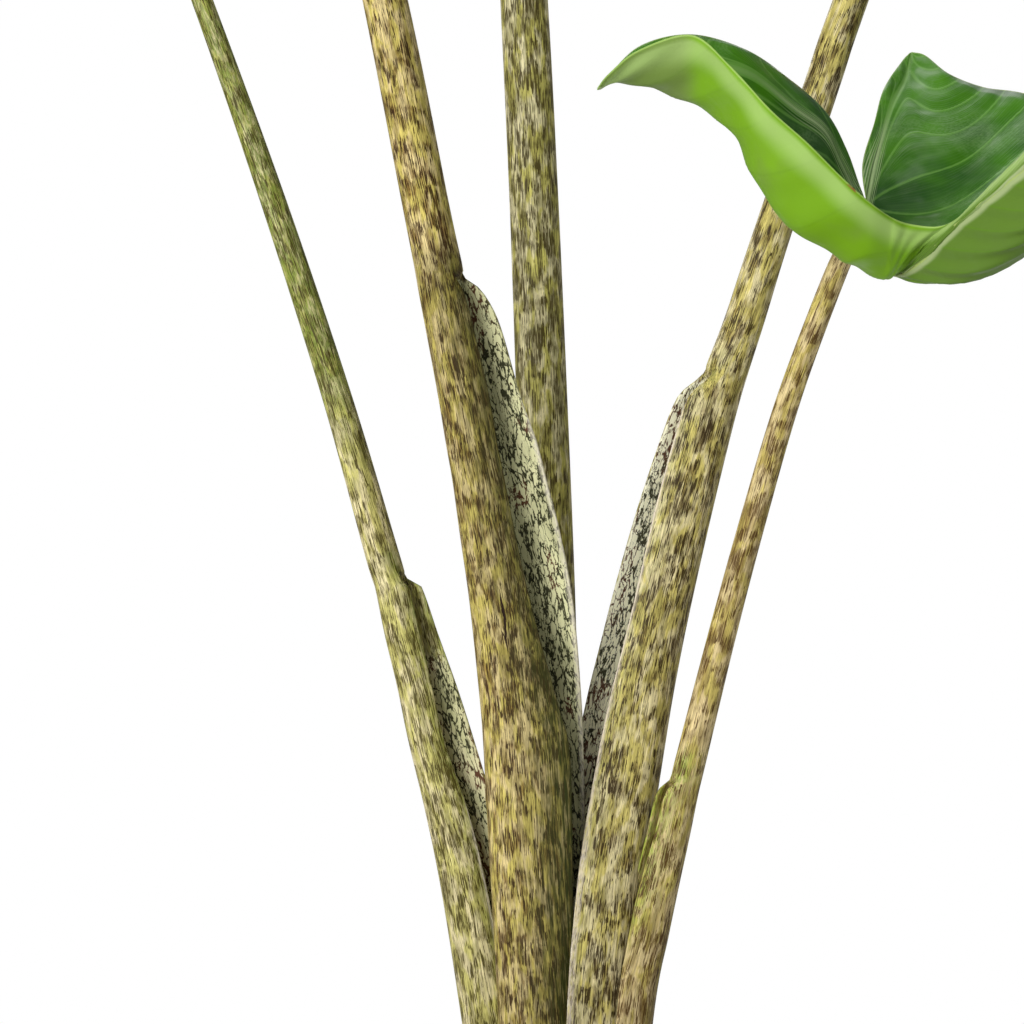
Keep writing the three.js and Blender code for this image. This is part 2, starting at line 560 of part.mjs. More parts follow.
Object.entries(blades).sort().forEach(([name, blade]) => {
  group.add(meshOf(name, bladeSolid(blade.halves, stalkTop(blade.on)), FINISHES.blade));
});

export default group;
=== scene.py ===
"""Finished looks of a potted stingray alocasia: mottled stalks, veined blades, stem, soil and nursery pot."""

import logging
import math
from collections.abc import Callable
from dataclasses import dataclass, field
from enum import Enum

import bmesh
import bpy
import numpy as np
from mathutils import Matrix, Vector, noise


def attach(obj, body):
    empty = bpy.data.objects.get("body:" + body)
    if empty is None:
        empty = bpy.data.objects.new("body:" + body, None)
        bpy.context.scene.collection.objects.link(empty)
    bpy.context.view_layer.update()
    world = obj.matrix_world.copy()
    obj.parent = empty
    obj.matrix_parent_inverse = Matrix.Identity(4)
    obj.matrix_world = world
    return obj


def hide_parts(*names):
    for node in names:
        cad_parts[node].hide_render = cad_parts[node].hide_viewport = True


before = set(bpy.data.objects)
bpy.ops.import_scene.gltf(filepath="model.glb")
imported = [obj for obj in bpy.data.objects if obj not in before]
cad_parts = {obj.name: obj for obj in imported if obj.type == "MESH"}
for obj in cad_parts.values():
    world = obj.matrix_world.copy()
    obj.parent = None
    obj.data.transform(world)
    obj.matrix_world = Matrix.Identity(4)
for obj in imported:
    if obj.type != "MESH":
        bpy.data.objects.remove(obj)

LOG = logging.getLogger("alocasia")
MM = 0.001
TINY = 1e-9
BODY = "root"

Array = np.ndarray
Tone = tuple[int, int, int]
Point = tuple[float, float, float]
Pairs = tuple[tuple[float, float], ...]
Socket = bpy.types.NodeSocket
Sockets = bpy.types.bpy_prop_collection
Value = float | tuple | Socket


def ease(t: Array) -> Array:
    """Smooth step from 0 at 0 to 1 at 1."""
    c = np.clip(t, 0.0, 1.0)
    return c * c * (3.0 - 2.0 * c)


def mix(a: Array, b: Array, t: Array) -> Array:
    """Value between a (t = 0) and b (t = 1)."""
    return a + (b - a) * t


def bell(x: Array, width: float) -> Array:
    """Bell curve, 1 at 0 and about a third at the given width."""
    return np.exp(-((x / width) ** 2))


def along(rows: Array, u: Array) -> Array:
    """Points on the smooth curve through rows.

    Args:
        rows: guide values, one row for each whole number of u.
        u: places on the curve, from 0 to the number of rows less one.

    Returns:
        One value for each u, shaped as a row is.
    """
    rows = np.asarray(rows, float)
    u = np.asarray(u, float)
    padded = np.concatenate([[2 * rows[0] - rows[1]], rows, [2 * rows[-1] - rows[-2]]])
    start = np.clip(np.floor(u).astype(int), 0, len(rows) - 2)
    f = (u - start).reshape([-1] + [1] * (rows.ndim - 1))
    a, b, c, d = (padded[start + k] for k in range(4))
    return 0.5 * (2 * b + (c - a) * f + (2 * a - 5 * b + 4 * c - d) * f**2 + (3 * b - a - 3 * c + d) * f**3)


def lengths(points: Array) -> Array:
    """Distance of each point from the first, along the line through them all."""
    return np.concatenate([[0], np.cumsum(np.linalg.norm(np.diff(points, axis=0), axis=1))])


def turning(angle: float, a: int, b: int) -> Array:
    """Matrix that turns axis a toward axis b by an angle.

    Args:
        angle: the angle in radians.
        a: number of the first axis.
        b: number of the second axis.

    Returns:
        The matrix.
    """
    matrix = np.eye(3)
    matrix[a, a] = matrix[b, b] = math.cos(angle)
    matrix[a, b], matrix[b, a] = -math.sin(angle), math.sin(angle)
    return matrix


def linear(tone: Tone) -> tuple[float, float, float, float]:
    """Linear colour of an sRGB tone given as 0 to 255."""
    parts = [c / 255 for c in tone]
    return (*(c / 12.92 if c <= 0.04045 else ((c + 0.055) / 1.055) ** 2.4 for c in parts), 1.0)


def grid_quads(rows: int, columns: int, closed: bool = False) -> Array:
    """Corner numbers of the quads of a grid.

    Args:
        rows: rows of points.
        columns: points in a row.
        closed: whether the last column joins the first.

    Returns:
        One line of four corners for each quad.
    """
    i, j = np.meshgrid(np.arange(rows - 1), np.arange(columns if closed else columns - 1), indexing="ij")
    p, q = i * columns + j, i * columns + (j + 1) % columns
    return np.stack([p, q, q + columns, p + columns], -1).reshape(-1, 4)


def without_doubles(faces: list[list[int]]) -> list[list[int]]:
    """Faces with repeated corners left out, and without the ones that collapse."""
    cleaned = ([v for k, v in enumerate(f) if v != f[k - 1]] for f in faces)
    return [f for f in cleaned if len(f) > 2]


class Tree:
    """Adds nodes to a node tree in a few words."""

    def __init__(self, tree: bpy.types.NodeTree) -> None:
        """Args:
            tree: the node tree that is added to.
        """
        self.tree = tree

    def feed(self, socket: Socket, value: Value) -> None:
        """Link a socket to another one, or set its own value.

        Args:
            socket: the input.
            value: what it takes.
        """
        if isinstance(value, Socket):
            self.tree.links.new(value, socket)
        else:
            socket.default_value = value

    def node(self, kind: str, inputs: dict | None = None, **settings: object) -> bpy.types.Node:
        """New node.

        Args:
            kind: its type.
            inputs: a value or a socket for each named or numbered input.
            settings: its other properties.

        Returns:
            The node.
        """
        node = self.tree.nodes.new(kind)
        for key, value in settings.items():
            setattr(node, key, value)
        for key, value in (inputs or {}).items():
            self.feed(node.inputs[key], value)
        return node

    def math(self, operation: str, *values: Value, clamp: bool = False) -> Socket:
        """Result of a Math node."""
        inputs = dict(enumerate(values))
        return self.node("ShaderNodeMath", inputs, operation=operation, use_clamp=clamp).outputs[0]

    def add(self, a: Value, b: Value, clamp: bool = False) -> Socket:
        """Sum of two values, held between 0 and 1 if clamp is set."""
        return self.math("ADD", a, b, clamp=clamp)

    def sub(self, a: Value, b: Value) -> Socket:
        """First value less the second."""
        return self.math("SUBTRACT", a, b)

    def mul(self, a: Value, b: Value) -> Socket:
        """Product of two values."""
        return self.math("MULTIPLY", a, b)

    def larger(self, a: Value, b: Value) -> Socket:
        """Larger one of two values."""
        return self.math("MAXIMUM", a, b)

    def apart(self, a: Value, b: Value) -> Socket:
        """How far apart two values are."""
        return self.math("ABSOLUTE", self.sub(a, b))

    def vector(self, operation: str, *values: Value, **named: Value) -> Socket:
        """Result of a Vector Math node."""
        inputs = {**dict(enumerate(values)), **named}
        return self.node("ShaderNodeVectorMath", inputs, operation=operation).outputs[0]

    def xyz(self, vector: Value) -> Sockets:
        """The three parts of a vector."""
        return self.node("ShaderNodeSeparateXYZ", {0: vector}).outputs

    def stretch(self, place: Value, across: float, lengthwise: float) -> Socket:
        """Place divided by a grain's size across and lengthwise."""
        return self.vector("MULTIPLY", place, (1 / across, 1 / across, 1 / lengthwise))

    def noise(self, place: Value, across: float, lengthwise: float, detail: float = 2.0,
              distortion: float = 0.0) -> Socket:
        """Noise with grains of the given size in millimetres, about 0.5 in the middle.

        Args:
            place: place in millimetres.
            across: a grain's size across.
            lengthwise: a grain's size lengthwise.
            detail: how many finer layers lie on top.
            distortion: how far the grains are bent.

        Returns:
            The noise.
        """
        inputs = {"Vector": self.stretch(place, across, lengthwise), "Scale": 1.0, "Detail": detail,
                  "Distortion": distortion}
        return self.node("ShaderNodeTexNoise", inputs).outputs["Fac"]

    def step(self, value: Value, low: Value, high: Value, first: Value = 0.0, last: Value = 1.0) -> Socket:
        """Smooth step of a value, from first at low to last at high."""
        inputs = {"Value": value, "From Min": low, "From Max": high, "To Min": first, "To Max": last}
        return self.node("ShaderNodeMapRange", inputs, interpolation_type="SMOOTHSTEP").outputs["Result"]

    def fade(self, value: Value, low: Value, high: Value) -> Socket:
        """Smooth step of a value, from 1 at low down to 0 at high."""
        return self.step(value, low, high, 1.0, 0.0)

    def blend(self, share: Value, a: Value, b: Value, mode: str = "MIX") -> Socket:
        """Colour between a (share 0) and b (share 1), each of them a tone or a socket.

        Args:
            share: share of b.
            a: first colour.
            b: second colour.
            mode: how they are mixed.

        Returns:
            The colour.
        """
        a, b = (linear(colour) if isinstance(colour, tuple) else colour for colour in (a, b))
        inputs = {0: share, 6: a, 7: b}
        return self.node("ShaderNodeMix", inputs, data_type="RGBA", blend_type=mode).outputs[2]

    def times(self, colour: Value, brightness: Value) -> Socket:
        """Colour made darker or lighter by a factor."""
        grey = self.node("ShaderNodeCombineColor", dict.fromkeys(range(3), brightness)).outputs[0]
        return self.blend(1.0, colour, grey, "MULTIPLY")

    def attribute(self, name: str, output: str = "Fac") -> Socket:
        """Value that the piece's mesh carries at each point."""
        return self.node("ShaderNodeAttribute", attribute_name=name).outputs[output]

    def place(self) -> Socket:
        """Object coordinates in millimetres."""
        return self.vector("SCALE", self.node("ShaderNodeTexCoord").outputs["Object"], Scale=1 / MM)

    def use(self, group: bpy.types.NodeTree, **inputs: Value) -> Sockets:
        """Outputs of a node group that is placed with the given inputs."""
        return self.node("ShaderNodeGroup", inputs, node_tree=group).outputs

    def bump(self, height: Value, depth: float, strength: float) -> Socket:
        """Normal of a surface with the given relief, its depth in millimetres."""
        inputs = {"Height": height, "Distance": depth * MM, "Strength": strength}
        return self.node("ShaderNodeBump", inputs).outputs[0]

    def shade(self, **inputs: Value) -> None:
        """Feed the tree's own Principled shader, its sockets named with _ for a space.

        Args:
            inputs: a value or a socket for each of its inputs.
        """
        shader = self.tree.nodes["Principled BSDF"]
        for key, value in inputs.items():
            self.feed(shader.inputs[key.replace("_", " ")], value)


class Kind(Enum):
    """Socket types of the node groups."""

    NUMBER = "NodeSocketFloat"
    WHOLE = "NodeSocketInt"
    VECTOR = "NodeSocketVector"
    GEOMETRY = "NodeSocketGeometry"


def node_group(name: str, takes: dict[str, Kind], fill: Callable[[Tree, Sockets], dict[str, Socket]],
               gives: Kind = Kind.NUMBER, kind: str = "ShaderNodeTree") -> bpy.types.NodeTree:
    """Build a node group.

    Args:
        name: its name.
        takes: its inputs.
        fill: adds the nodes, and returns the socket for each output.
        gives: type of its outputs.
        kind: type of its tree.

    Returns:
        The group.
    """
    group = bpy.data.node_groups.new(name, kind)
    for key, taken in takes.items():
        group.interface.new_socket(key, in_out="INPUT", socket_type=taken.value)
    tree = Tree(group)
    results = fill(tree, tree.node("NodeGroupInput").outputs)
    for key in results:
        group.interface.new_socket(key, in_out="OUTPUT", socket_type=gives.value)
    tree.node("NodeGroupOutput", results)
    return group


def mottle_group() -> bpy.types.NodeTree:
    """Streaks, clouds and fine lengthwise grain of a stalk's skin.

    Returns:
        The group.
    """

    def fill(tree: Tree, given: Sockets) -> dict[str, Socket]:
        """Adds the nodes: streaks lie closer where the crowd and its bands are high.

        Args:
            tree: the group that is filled.
            given: the group's inputs.

        Returns:
            The socket for each output.
        """
        place = given["Place"]
        crowd = tree.noise(place, 3.0, 6.4, 3.0, 0.5)
        bands = tree.noise(place, 12.0, 6.0, 1.5, 0.8)
        thick = tree.step(tree.add(tree.mul(crowd, 0.74), tree.mul(bands, 0.26)), 0.41, 0.6)
        limit = tree.sub(tree.sub(0.67, tree.mul(given["Cover"], 0.1)), tree.mul(thick, 0.115))
        dashes = tree.noise(place, 0.3, 4.6, 2.0, 0.06)
        streak = tree.step(dashes, tree.sub(limit, 0.01), tree.add(limit, 0.02))
        threads = tree.noise(place, 0.19, 4.4, 1.0)
        thread = tree.step(threads, limit, tree.add(limit, 0.05))
        halo = tree.step(tree.noise(place, 1.2, 4.2, 2.5), 0.38, 0.58)
        return {"Streak": tree.larger(streak, tree.mul(thread, 0.7)), "Halo": tree.mul(halo, thick),
                "Fibre": tree.noise(place, 0.6, 8.0, 3.0, 0.2), "Grain": tree.noise(place, 0.24, 22.0, 2.0)}

    return node_group("stalk_mottle", {"Place": Kind.VECTOR, "Cover": Kind.NUMBER}, fill)


def net_group() -> bpy.types.NodeTree:
    """Broken dark net on the pale inside of a sheath.

    Returns:
        The group.
    """

    def fill(tree: Tree, given: Sockets) -> dict[str, Socket]:
        """Adds the nodes: winding cracks and the borders of long bent cells, both thicker in patches.

        Args:
            tree: the group that is filled.
            given: the group's inputs.

        Returns:
            The socket for each output.
        """
        place = given["Place"]
        thick = tree.step(tree.noise(place, 2.6, 6.0, 2.0), 0.34, 0.64)
        hills = tree.apart(tree.noise(place, 2.2, 6.4, 3.0, 0.8), 0.5)
        width = tree.add(0.01, tree.mul(thick, 0.055))
        cracks = tree.fade(hills, tree.mul(width, 0.5), width)
        wander = tree.node("ShaderNodeTexNoise", {"Vector": tree.stretch(place, 0.7, 1.5), "Scale": 1.0,
                                                  "Detail": 4.0, "Roughness": 0.65}).outputs["Color"]
        bent = tree.vector("MULTIPLY_ADD", wander, (1.2, 1.2, 3.0), place)
        cells = tree.node("ShaderNodeTexVoronoi", {"Vector": tree.stretch(bent, 1.5, 5.2), "Scale": 1.0},
                          feature="DISTANCE_TO_EDGE").outputs["Distance"]
        rim = tree.add(0.04, tree.mul(thick, 0.1))
        borders = tree.fade(cells, tree.mul(rim, 0.5), rim)
        breaks = tree.step(tree.noise(place, 0.7, 2.0, 2.0), 0.36, 0.46)
        return {"Net": tree.mul(tree.larger(cracks, borders), breaks),
                "Shade": tree.noise(place, 6.0, 16.0, 2.0)}

    return node_group("sheath_net", {"Place": Kind.VECTOR}, fill)


def venation_group() -> bpy.types.NodeTree:
    """Side veins, fine veins and ribs of a blade, from its own leaf coordinates.

    Returns:
        The group.
    """

    def fill(tree: Tree, given: Sockets) -> dict[str, Socket]:
        """Adds the nodes, with all distances in millimetres.

        Args:
            tree: the group that is filled.
            given: the group's inputs.

        Returns:
            The socket for each output.
        """
        phase, across, ribward = tree.xyz(given["Leaf"])
        pitch, run = given["Pitch"], given["Run"]
        thinner = tree.step(across, 0.1, 0.95, 1.0, 0.35)

        def lines(count: Value, gap: Value, times: float, width: Value, soft: float) -> Socket:
            """Soft lines, so many times in each gap.

            Args:
                count: phase that rises by 1 in each gap.
                gap: width of a gap.
                times: lines in each gap.
                width: half width of a line.
                soft: width of its soft edge.

            Returns:
                1 on the lines and 0 between them.
            """
            turned = tree.math("FRACT", tree.mul(count, times))
            away = tree.sub(0.5, tree.apart(turned, 0.5))
            distance = tree.mul(tree.math("DIVIDE", away, times), gap)
            return tree.fade(distance, width, tree.add(width, soft))

        open_gap = tree.step(pitch, 3.0, 8.0)
        side = lines(phase, pitch, 1.0, tree.mul(thinner, 0.15), 0.65)
        between = tree.mul(lines(phase, pitch, 3.0, 0.04, 0.45), open_gap)
        fine = tree.mul(lines(phase, pitch, 14.0, 0.02, 0.3), open_gap)
        near = tree.fade(tree.math("ABSOLUTE", run), 16.0, 48.0)
        strands = tree.mul(lines(ribward, 1.0, 1.05, 0.1, 0.22), tree.fade(ribward, 3.0, 4.2))
        hind = tree.step(run, -52.0, -24.0, 0.15, 1.0)
        # painted shade in the grooves beside the rib
        groove = tree.mul(tree.step(ribward, 0.5, 0.7), tree.fade(ribward, 0.9, 1.15))
        return {"Side": side, "Between": between, "Fine": fine, "Strands": tree.mul(strands, near),
                "Rib": tree.mul(tree.fade(ribward, 0.8, 1.7), hind), "Keel": tree.fade(ribward, 2.2, 4.2),
                "GrooveShade": tree.mul(groove, hind)}

    takes = {"Leaf": Kind.VECTOR, "Pitch": Kind.NUMBER, "Run": Kind.NUMBER}
    return node_group("blade_venation", takes, fill)


MOTTLE = mottle_group()
NET = net_group()
VENATION = venation_group()


def new_material(name: str) -> tuple[bpy.types.Material, Tree]:
    """New material with a Principled shader, and its tree.

    Args:
        name: the material's name.

    Returns:
        The material and its tree.
    """
    material = bpy.data.materials.new(name)
    material.use_nodes = True
    return material, Tree(material.node_tree)


@dataclass(frozen=True)
class StalkFinish:
    """Skin of one stalk: its tones, how thickly it is streaked, and the flush by its sheath's edge, painted
    shade on the broad stalk.
    """

    tan: Tone
    yellow: Tone
    olive: Tone
    halo: Tone
    streak: Tone
    # flush by the sheath's edges: green on most stalks, painted shade on the broad stalk
    flush_and_shade: Tone
    flush_and_shade_share: float = 0.6
    speckle: float = 0.85
    yellow_share: float = 0.5
    cover: float = 0.5
    net: Tone = (36, 36, 12)
    red_net: Tone = (78, 34, 14)
    red_share: float = 0.4
    pale: Tone = (204, 202, 156)
    tint: float = 0.3
    cream: Tone = (220, 212, 190)
    # painted shade: the dark olive laid on the outside of the near wing
    painted_shade: Tone = (48, 52, 16)
    slit: tuple[float, float, float, float] | None = None
    slit_tone: Tone = (34, 18, 8)

    def slit_mask(self, tree: Tree, place: Value) -> Value:
        """Where the skin is split. A slit has a place across and along, a half length and a half width.

        Args:
            tree: the material's tree.
            place: place on the stalk.

        Returns:
            1 in the slit and 0 beside it.
        """
        if self.slit is None:
            return 0.0
        across, middle, half, width = self.slit
        x, y, s = tree.xyz(place)
        bend = tree.mul(tree.sub(tree.noise(place, 3.0, 3.0, 2.0), 0.5), 1.6)
        off = tree.apart(tree.add(x, bend), across)
        share = tree.math("DIVIDE", tree.apart(s, middle), half)
        reach = tree.mul(tree.fade(share, 0.3, 1.0), width)
        line = tree.mul(tree.fade(tree.sub(off, reach), 0.0, 0.12), tree.math("LESS_THAN", share, 1.0))
        return tree.mul(line, tree.math("LESS_THAN", y, 0.0))

    def outside(self, tree: Tree, place: Value, mottle: Sockets) -> Socket:
        """Colour of the streaked skin.

        Args:
            tree: the material's tree.
            place: place on the stalk.
            mottle: masks of the mottling.

        Returns:
            The colour.
        """
        half = 0.5 + 0.3 * (0.5 - self.yellow_share)
        drift = tree.step(tree.noise(place, 2.6, 8.5, 3.0, 0.4), half - 0.08, half + 0.08)
        ground = tree.blend(drift, self.tan, self.yellow)
        clouds = tree.step(tree.noise(place, 3.2, 9.0, 3.0), 0.47, 0.66, 0.0, 0.6)
        ground = tree.blend(clouds, ground, self.olive)
        ground = tree.blend(tree.mul(mottle["Halo"], 0.66), ground, self.halo)
        speckled = tree.step(tree.noise(place, 0.6, 2.4, 2.0), 0.36, 0.6, 1.0 - self.speckle, 1.0)
        # flush by the wing tips; on the broad stalk its dark olive is painted shade
        flush_and_shade = tree.mul(tree.mul(tree.attribute("flush_and_shade"), self.flush_and_shade_share), speckled)
        ground = tree.blend(flush_and_shade, ground, self.flush_and_shade)
        ground = tree.times(ground, tree.step(mottle["Fibre"], 0.32, 0.68, 0.78, 1.14))
        ground = tree.times(ground, tree.step(mottle["Grain"], 0.3, 0.7, 0.78, 1.16))
        return tree.blend(tree.mul(mottle["Streak"], 0.93), ground, self.streak)

    def inside(self, tree: Tree, place: Value) -> Socket:
        """Colour of the pale, netted inside of the sheath.

        Args:
            tree: the material's tree.
            place: place on the stalk.

        Returns:
            The colour.
        """
        net = tree.use(NET, Place=place)
        half = 0.5 + 0.35 * (0.5 - self.red_share)
        lines = tree.blend(tree.step(net["Shade"], half - 0.04, half + 0.05), self.net, self.red_net)
        pale = tree.blend(tree.step(net["Shade"], 0.6, 0.35, 0.0, self.tint), self.pale, self.flush_and_shade)
        return tree.blend(tree.mul(net["Net"], 0.96), pale, lines)

    def material(self, name: str) -> bpy.types.Material:
        """Material of the skin, which follows the piece's own place, inner, margin, flush and painted shade
        values.

        Args:
            name: the material's name.

        Returns:
            The material.
        """
        material, tree = new_material(name)
        place = tree.attribute("place", "Vector")
        mottle = tree.use(MOTTLE, Place=place, Cover=self.cover)
        rough_edge = tree.mul(tree.sub(tree.noise(place, 1.1, 3.0, 3.0), 0.5), 0.9)
        inner = tree.step(tree.add(tree.attribute("inner"), rough_edge), 0.3, 0.7)
        colour = tree.blend(inner, self.outside(tree, place, mottle), self.inside(tree, place))
        dotted = tree.step(tree.noise(place, 0.45, 1.6, 2.0), 0.36, 0.52, 0.35, 1.0)
        colour = tree.blend(tree.mul(tree.attribute("margin"), dotted), colour, self.cream)
        # painted shade on the outside of the near wing, broken up by the fibres
        painted_shade_share = tree.mul(tree.attribute("painted_shade"), tree.step(mottle["Fibre"], 0.38, 0.6, 1.15, 0.55))
        colour = tree.blend(painted_shade_share, colour, self.painted_shade)
        colour = tree.blend(self.slit_mask(tree, place), colour, self.slit_tone)
        rough = tree.step(mottle["Grain"], 0.3, 0.7, 0.46, 0.36)
        relief = tree.sub(mottle["Grain"], tree.mul(mottle["Streak"], 0.3))
        tree.shade(Base_Color=colour, Roughness=tree.add(rough, tree.mul(inner, 0.2)),
                   Normal=tree.bump(relief, 0.2, 0.6), Specular_IOR_Level=0.17, IOR=1.45)
        return material


@dataclass(frozen=True)
class BladeFinish:
    """Both faces of a blade: glossy and dark above, pale and dull beneath."""

    deep: Tone = (24, 76, 0)
    fresh_and_lit: Tone = (64, 122, 0)
    vein: Tone = (116, 166, 74)
    rib: Tone = (168, 190, 136)
    under: Tone = (112, 158, 22)
    under_grey_and_shade: Tone = (108, 132, 60)
    painted_under_shade: Tone = (84, 112, 42)
    under_vein: Tone = (86, 126, 28)
    under_rib: Tone = (158, 172, 122)
    under_keel: Tone = (156, 174, 92)
    # painted highlight where the rolled rim catches the light
    roll: Tone = (172, 200, 122)
    edge: Tone = (150, 182, 92)
    worn: Tone = (132, 96, 50)
    # painted sheen: the greyish tone of patches that stand in for reflections
    wax_and_painted_sheen: Tone = (120, 156, 98)
    painted_sheen_share: float = 0.32

    def above(self, tree: Tree, place: Value, drift: Value, veins: Sockets, run: Value) -> Socket:
        """Colour of the upper face: brighter on the hind lobes as painted light, and greyer in patches of
        painted sheen.

        Args:
            tree: the material's tree.
            place: place in the object.
            drift: slow change of tone.
            veins: masks of the veins.
            run: distance along the rib.

        Returns:
            The colour.
        """
        # painted light: the hind lobes lighter, on top of a random drift of tone
        lit = tree.add(tree.step(drift, 0.25, 0.75), tree.step(run, -66.0, -24.0, 0.5, -0.1), clamp=True)
        colour = tree.blend(lit, self.deep, self.fresh_and_lit)
        faint = tree.larger(tree.mul(veins["Fine"], 0.05), tree.mul(veins["Between"], 0.08))
        colour = tree.blend(faint, colour, self.vein)
        colour = tree.blend(tree.mul(veins["Side"], 0.45), colour, self.vein)
        # painted sheen: greyish patches standing in for reflections on the upper face
        patches = tree.step(tree.noise(place, 16.0, 16.0, 3.0), 0.47, 0.66, 0.0, self.painted_sheen_share)
        pores = tree.step(tree.noise(place, 0.8, 0.8, 3.0), 0.36, 0.64, 0.35, 1.0)
        colour = tree.blend(tree.mul(patches, pores), colour, self.wax_and_painted_sheen)
        ribs = tree.larger(tree.mul(veins["Rib"], 0.85), tree.mul(veins["Strands"], 0.8))
        colour = tree.blend(ribs, colour, self.rib)
        # painted shade in the grooves beside the rib
        return tree.blend(tree.mul(veins["GrooveShade"], 0.6), colour, self.deep)

    def below(self, tree: Tree, drift: Value, veins: Sockets, run: Value, rim: Value) -> Socket:
        """Colour of the lower face: greyer on the tips of the hind lobes and darker toward the tail, both
        painted shade, and paler as a painted highlight where the rim rolls out.

        Args:
            tree: the material's tree.
            drift: slow change of tone.
            veins: masks of the veins.
            run: distance along the rib.
            rim: distance from the margin.

        Returns:
            The colour.
        """
        # painted shade: the hind lobes' tips greyer where they turn down from the light; the drift adds
        # random grey
        grey = tree.larger(tree.step(run, -72.0, -64.0, 0.95, 0.0), tree.step(drift, 0.5, 0.72, 0.0, 0.45))
        colour = tree.blend(grey, self.under, self.under_grey_and_shade)
        # painted shade: the lower face darker toward the tail, which faces away from the light
        ahead = tree.step(run, 18.0, 46.0)
        colour = tree.blend(tree.mul(ahead, 0.9), colour, self.painted_under_shade)
        side = tree.mul(veins["Side"], tree.add(0.14, tree.mul(ahead, 0.3)))
        colour = tree.blend(side, colour, self.under_vein)
        colour = tree.blend(tree.mul(veins["Keel"], 0.85), colour, self.under_rib)
        colour = tree.blend(tree.mul(veins["Rib"], 0.8), colour, self.under_keel)
        # painted highlight along the rolled rim of the lower face
        painted_rim_highlight = tree.mul(tree.step(rim, 0.6, 2.6), tree.step(rim, 4.0, 12.0, 0.55, 0.0))
        return tree.blend(painted_rim_highlight, colour, self.roll)

    def material(self, name: str) -> bpy.types.Material:
        """Material of a blade, which follows the piece's own leaf, pitch, run, rim and side values.

        Args:
            name: the material's name.

        Returns:
            The material.
        """
        material, tree = new_material(name)
        side, run, rim, pitch = (tree.attribute(key) for key in ("side", "run", "rim", "pitch"))
        veins = tree.use(VENATION, Leaf=tree.attribute("leaf", "Vector"), Pitch=pitch, Run=run)
        place = tree.place()
        drift = tree.noise(place, 22.0, 22.0, 3.0)
        colour = tree.blend(side, self.above(tree, place, drift, veins, run),
                            self.below(tree, drift, veins, run, rim))
        colour = tree.blend(tree.step(rim, 0.2, 0.6, 0.8, 0.0), colour, self.edge)
        spots = tree.noise(place, 7.0, 7.0, 3.0)
        worn = tree.mul(tree.fade(rim, 0.4, 1.0), tree.step(spots, 0.66, 0.72))
        colour = tree.blend(worn, colour, self.worn)
        # a real waxy coat that gives gloss, fed to the coat weight
        wax_and_painted_sheen = tree.step(tree.noise(place, 15.0, 15.0, 2.0), 0.48, 0.62, 0.05, 0.5)
        relief = tree.add(tree.mul(veins["Fine"], 0.25), tree.mul(veins["Between"], 0.35))
        relief = tree.mul(tree.add(relief, veins["Strands"]), tree.sub(1.0, tree.mul(side, 0.85)))
        tree.shade(Base_Color=colour, Roughness=tree.step(spots, 0.35, 0.65, 0.38, 0.56),
                   Coat_Weight=tree.mul(wax_and_painted_sheen, tree.sub(1.0, side)), Coat_Roughness=0.3,
                   Normal=tree.bump(relief, 0.2, 0.7), Specular_IOR_Level=0.16, IOR=1.45)
        return material


@dataclass(frozen=True)
class PotFinish:
    """Matt black moulded plastic, a little dusty and scuffed."""

    plastic: Tone = (38, 39, 38)
    dust: Tone = (96, 90, 82)

    def material(self, name: str) -> bpy.types.Material:
        """Material of the pot.

        Args:
            name: the material's name.

        Returns:
            The material.
        """
        material, tree = new_material(name)
        place = tree.place()
        film = tree.step(tree.noise(place, 30.0, 45.0, 5.0), 0.5, 0.78)
        fall = tree.step(tree.xyz(place)[2], 0.0, 40.0, 0.6, 0.0)
        dusty = tree.larger(tree.mul(film, 0.16), tree.mul(fall, film))
        tree.shade(Base_Color=tree.blend(dusty, self.plastic, self.dust),
                   Roughness=tree.add(0.5, tree.mul(film, 0.2)),
                   Normal=tree.bump(tree.noise(place, 0.9, 0.9, 2.0), 0.12, 0.5),
                   Specular_IOR_Level=0.45, IOR=1.5)
        return material


@dataclass(frozen=True)
class EarthFinish:
    """Moist potting mix, bark or perlite: two tones in crumbs of a given size."""

    dark: Tone
    light: Tone
    grain: float = 2.0

    def material(self, name: str) -> bpy.types.Material:
        """Material of the earth, with its crumbs as relief.

        Args:
            name: the material's name.

        Returns:
            The material.
        """
        material, tree = new_material(name)
        crumbs = tree.noise(tree.place(), self.grain, self.grain, 5.0)
        tree.shade(Base_Color=tree.blend(tree.step(crumbs, 0.35, 0.7), self.dark, self.light),
                   Normal=tree.bump(crumbs, self.grain * 0.5, 0.8), Roughness=0.9, Specular_IOR_Level=0.3)
        return material


@dataclass(frozen=True)
class BarkFinish:
    """Brown, ringed and fibrous skin of the stem."""

    dark: Tone = (74, 52, 32)
    light: Tone = (148, 118, 76)

    def material(self, name: str) -> bpy.types.Material:
        """Material of the stem.

        Args:
            name: the material's name.

        Returns:
            The material.
        """
        material, tree = new_material(name)
        place = tree.place()
        fibres = tree.noise(place, 0.9, 14.0, 4.0)
        colour = tree.blend(tree.step(fibres, 0.32, 0.68), self.dark, self.light)
        patches = tree.step(tree.noise(place, 8.0, 3.0, 3.0), 0.5, 0.75, 0.0, 0.6)
        tree.shade(Base_Color=tree.blend(patches, colour, self.dark), Normal=tree.bump(fibres, 0.5, 0.7),
                   Roughness=0.75, Specular_IOR_Level=0.3)
        return material


def new_object(name: str, data: bpy.types.ID) -> bpy.types.Object:
    """Object with the given data, placed in the scene.

    Args:
        name: the object's name.
        data: its mesh, light or camera.

    Returns:
        The object.
    """
    thing = bpy.data.objects.new(name, data)
    bpy.context.scene.collection.objects.link(thing)
    return thing


